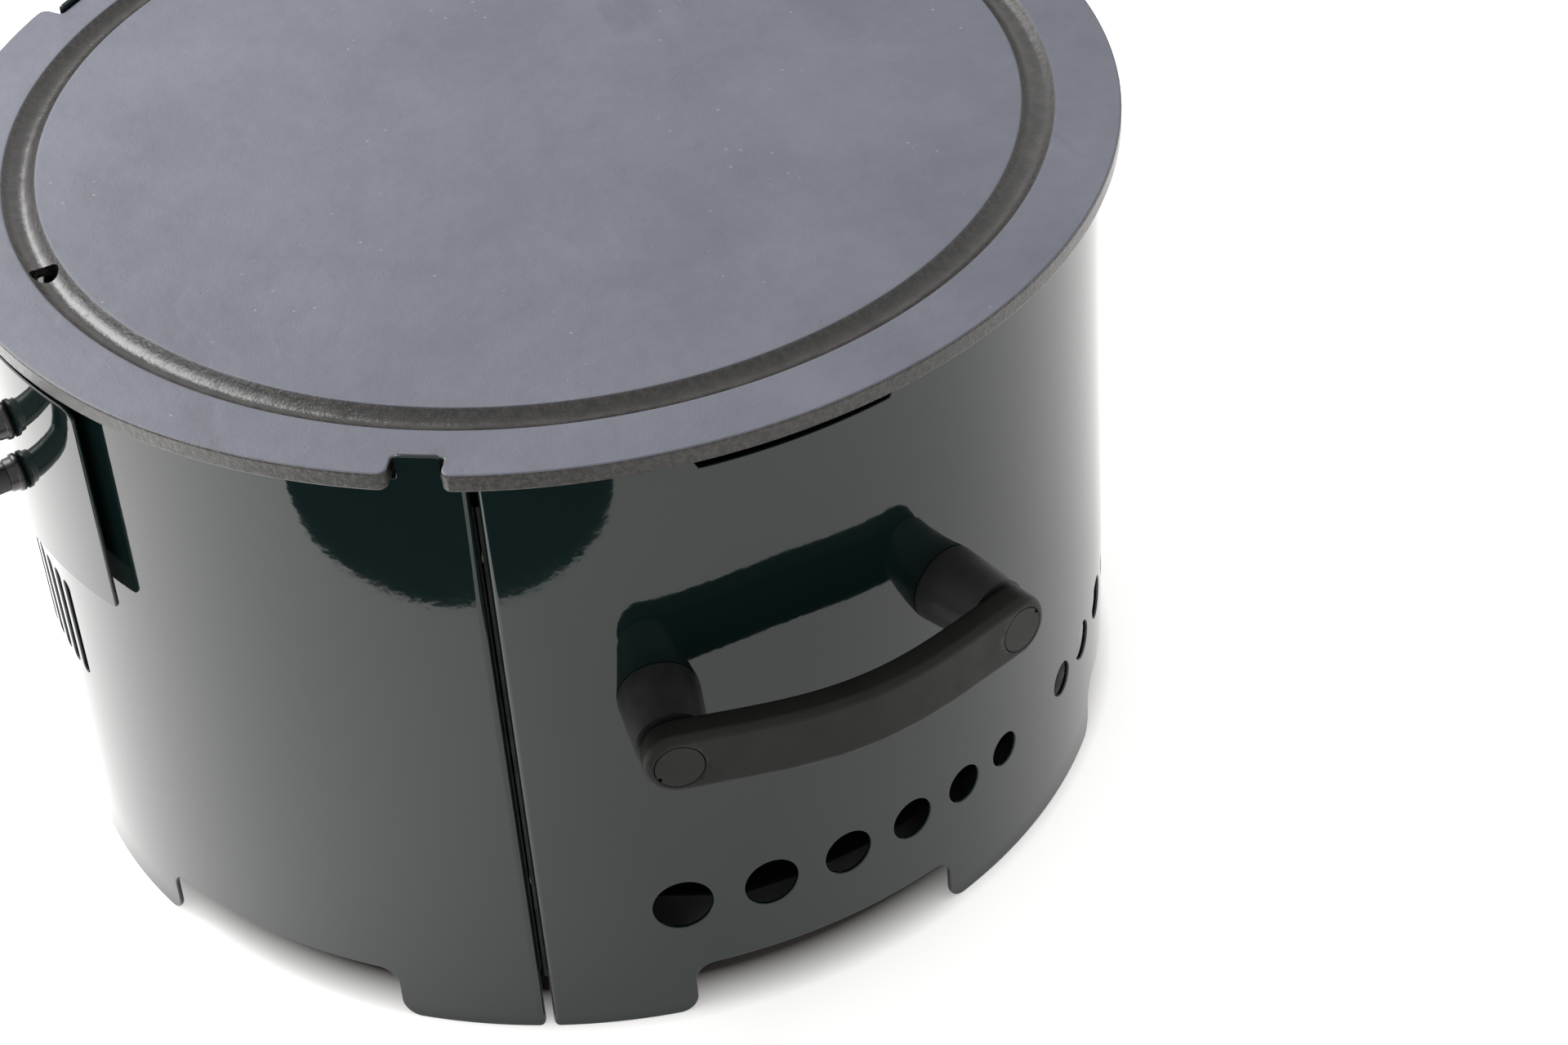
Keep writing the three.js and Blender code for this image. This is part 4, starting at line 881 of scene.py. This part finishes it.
def floor_painted_glow_and_shadow():
    """White paper with a painted glow, though it is no lamp, brighter towards the front left, and painted
    dark as a shadow under the drum, where it does not glow.
    """
    s = Shader("floor_painted_glow_and_shadow", 0.9, Specular_IOR_Level=0.1)
    s.base.inputs["Emission Color"].default_value = (1, 0.995, 0.98, 1)
    away = s.nodes.new("ShaderNodeVectorMath")
    away.operation = "DISTANCE"
    away.inputs[1].default_value = AXIS
    s.links.new(s.coords.outputs["Object"], away.inputs[0])
    across = s.nodes.new("ShaderNodeVectorMath")
    across.operation = "DOT_PRODUCT"
    across.inputs[1].default_value = PAINTED_GLOW_SIDE
    s.links.new(s.coords.outputs["Object"], across.inputs[0])
    # 1 outside the drum and 0 under it, where the floor is painted dark as a shadow and does not glow
    outside_painted_shadow = s.ramp(away.outputs["Value"], DRUM_R - 20 * MM, DRUM_R + 5 * MM)
    # painted shadow colour under the drum, white paper outside it
    s.colour(s.mix(outside_painted_shadow, (0.12, 0.11, 0.10), (0.93, 0.925, 0.915)))
    # painted light: the floor glows, though it is no lamp, more strongly towards the front left
    glow = s.ramp(across.outputs["Value"], -0.16, 0.37, 0.42, 1.35)
    s.links.new(s.times(outside_painted_shadow, glow), s.base.inputs["Emission Strength"])
    return s.material


def painted_shade_black():
    s = Shader("painted_shade_black", 0.9, Specular_IOR_Level=0.1)
    # the dark colour of the card of painted shade, seen only in the enamel's reflections
    s.base.inputs["Base Color"].default_value = (0.03, 0.045, 0.045, 1)
    return s.material


def painted_shade_card():
    """Painted shade: a dark card on the floor in front of the grill, which only reflections show, standing
    in for shade on the floor there.
    """
    across, up, out = directions(CARD_AZ)
    outline = rounded_rect(CARD_LEFT, CARD_NEAR, CARD_RIGHT, CARD_NEAR + CARD_DEPTH, CARD_CORNER)
    corners = [(AXIS + across * x + out * y).xy for x, y in outline]
    card = flat_card("painted_shade_card", corners, CARD_HEIGHT, painted_shade_black())
    card.visible_camera = False
    card.visible_diffuse = False
    card.visible_shadow = False


def white_world():
    world = bpy.data.worlds.new("studio")
    bpy.context.scene.world = world
    world.use_nodes = True
    background = world.node_tree.nodes["Background"]
    background.inputs["Color"].default_value = (1, 1, 1, 1)
    background.inputs["Strength"].default_value = 1.0


def soft_box(name, place, aim, width, power):
    light = bpy.data.lights.new(name, "AREA")
    light.shape = "RECTANGLE"
    light.size = width
    light.size_y = width * 0.7
    light.energy = power
    obj = bpy.data.objects.new(name, light)
    obj.location = place
    obj.rotation_euler = (Vector(aim) - Vector(place)).to_track_quat("-Z", "Y").to_euler()
    bpy.context.scene.collection.objects.link(obj)


def photo_camera(place, aim, roll, lens):
    """A camera that looks from one place to another, rolled by an angle in degrees."""
    camera = bpy.data.objects.new("camera", bpy.data.cameras.new("camera"))
    bpy.context.scene.collection.objects.link(camera)
    bpy.context.scene.camera = camera
    camera.data.sensor_width = 36
    camera.data.lens = lens
    camera.location = place
    look = (Vector(aim) - Vector(place)).to_track_quat("-Z", "Y").to_matrix()
    camera.rotation_euler = (look @ Matrix.Rotation(radians(roll), 3, "Z")).to_euler()


flat_card("studio_floor", circle(0, 0, FLOOR_R, 64), 0, floor_painted_glow_and_shadow())
painted_shade_card()
white_world()
soft_box("left_soft_box", (-0.9, -0.5, 1.2), (0, 0, 0.28), 1.0, 20)
photo_camera(CAMERA_PLACE, CAMERA_AIM, CAMERA_ROLL, CAMERA_LENS)
bpy.context.scene.view_settings.view_transform = "Standard"
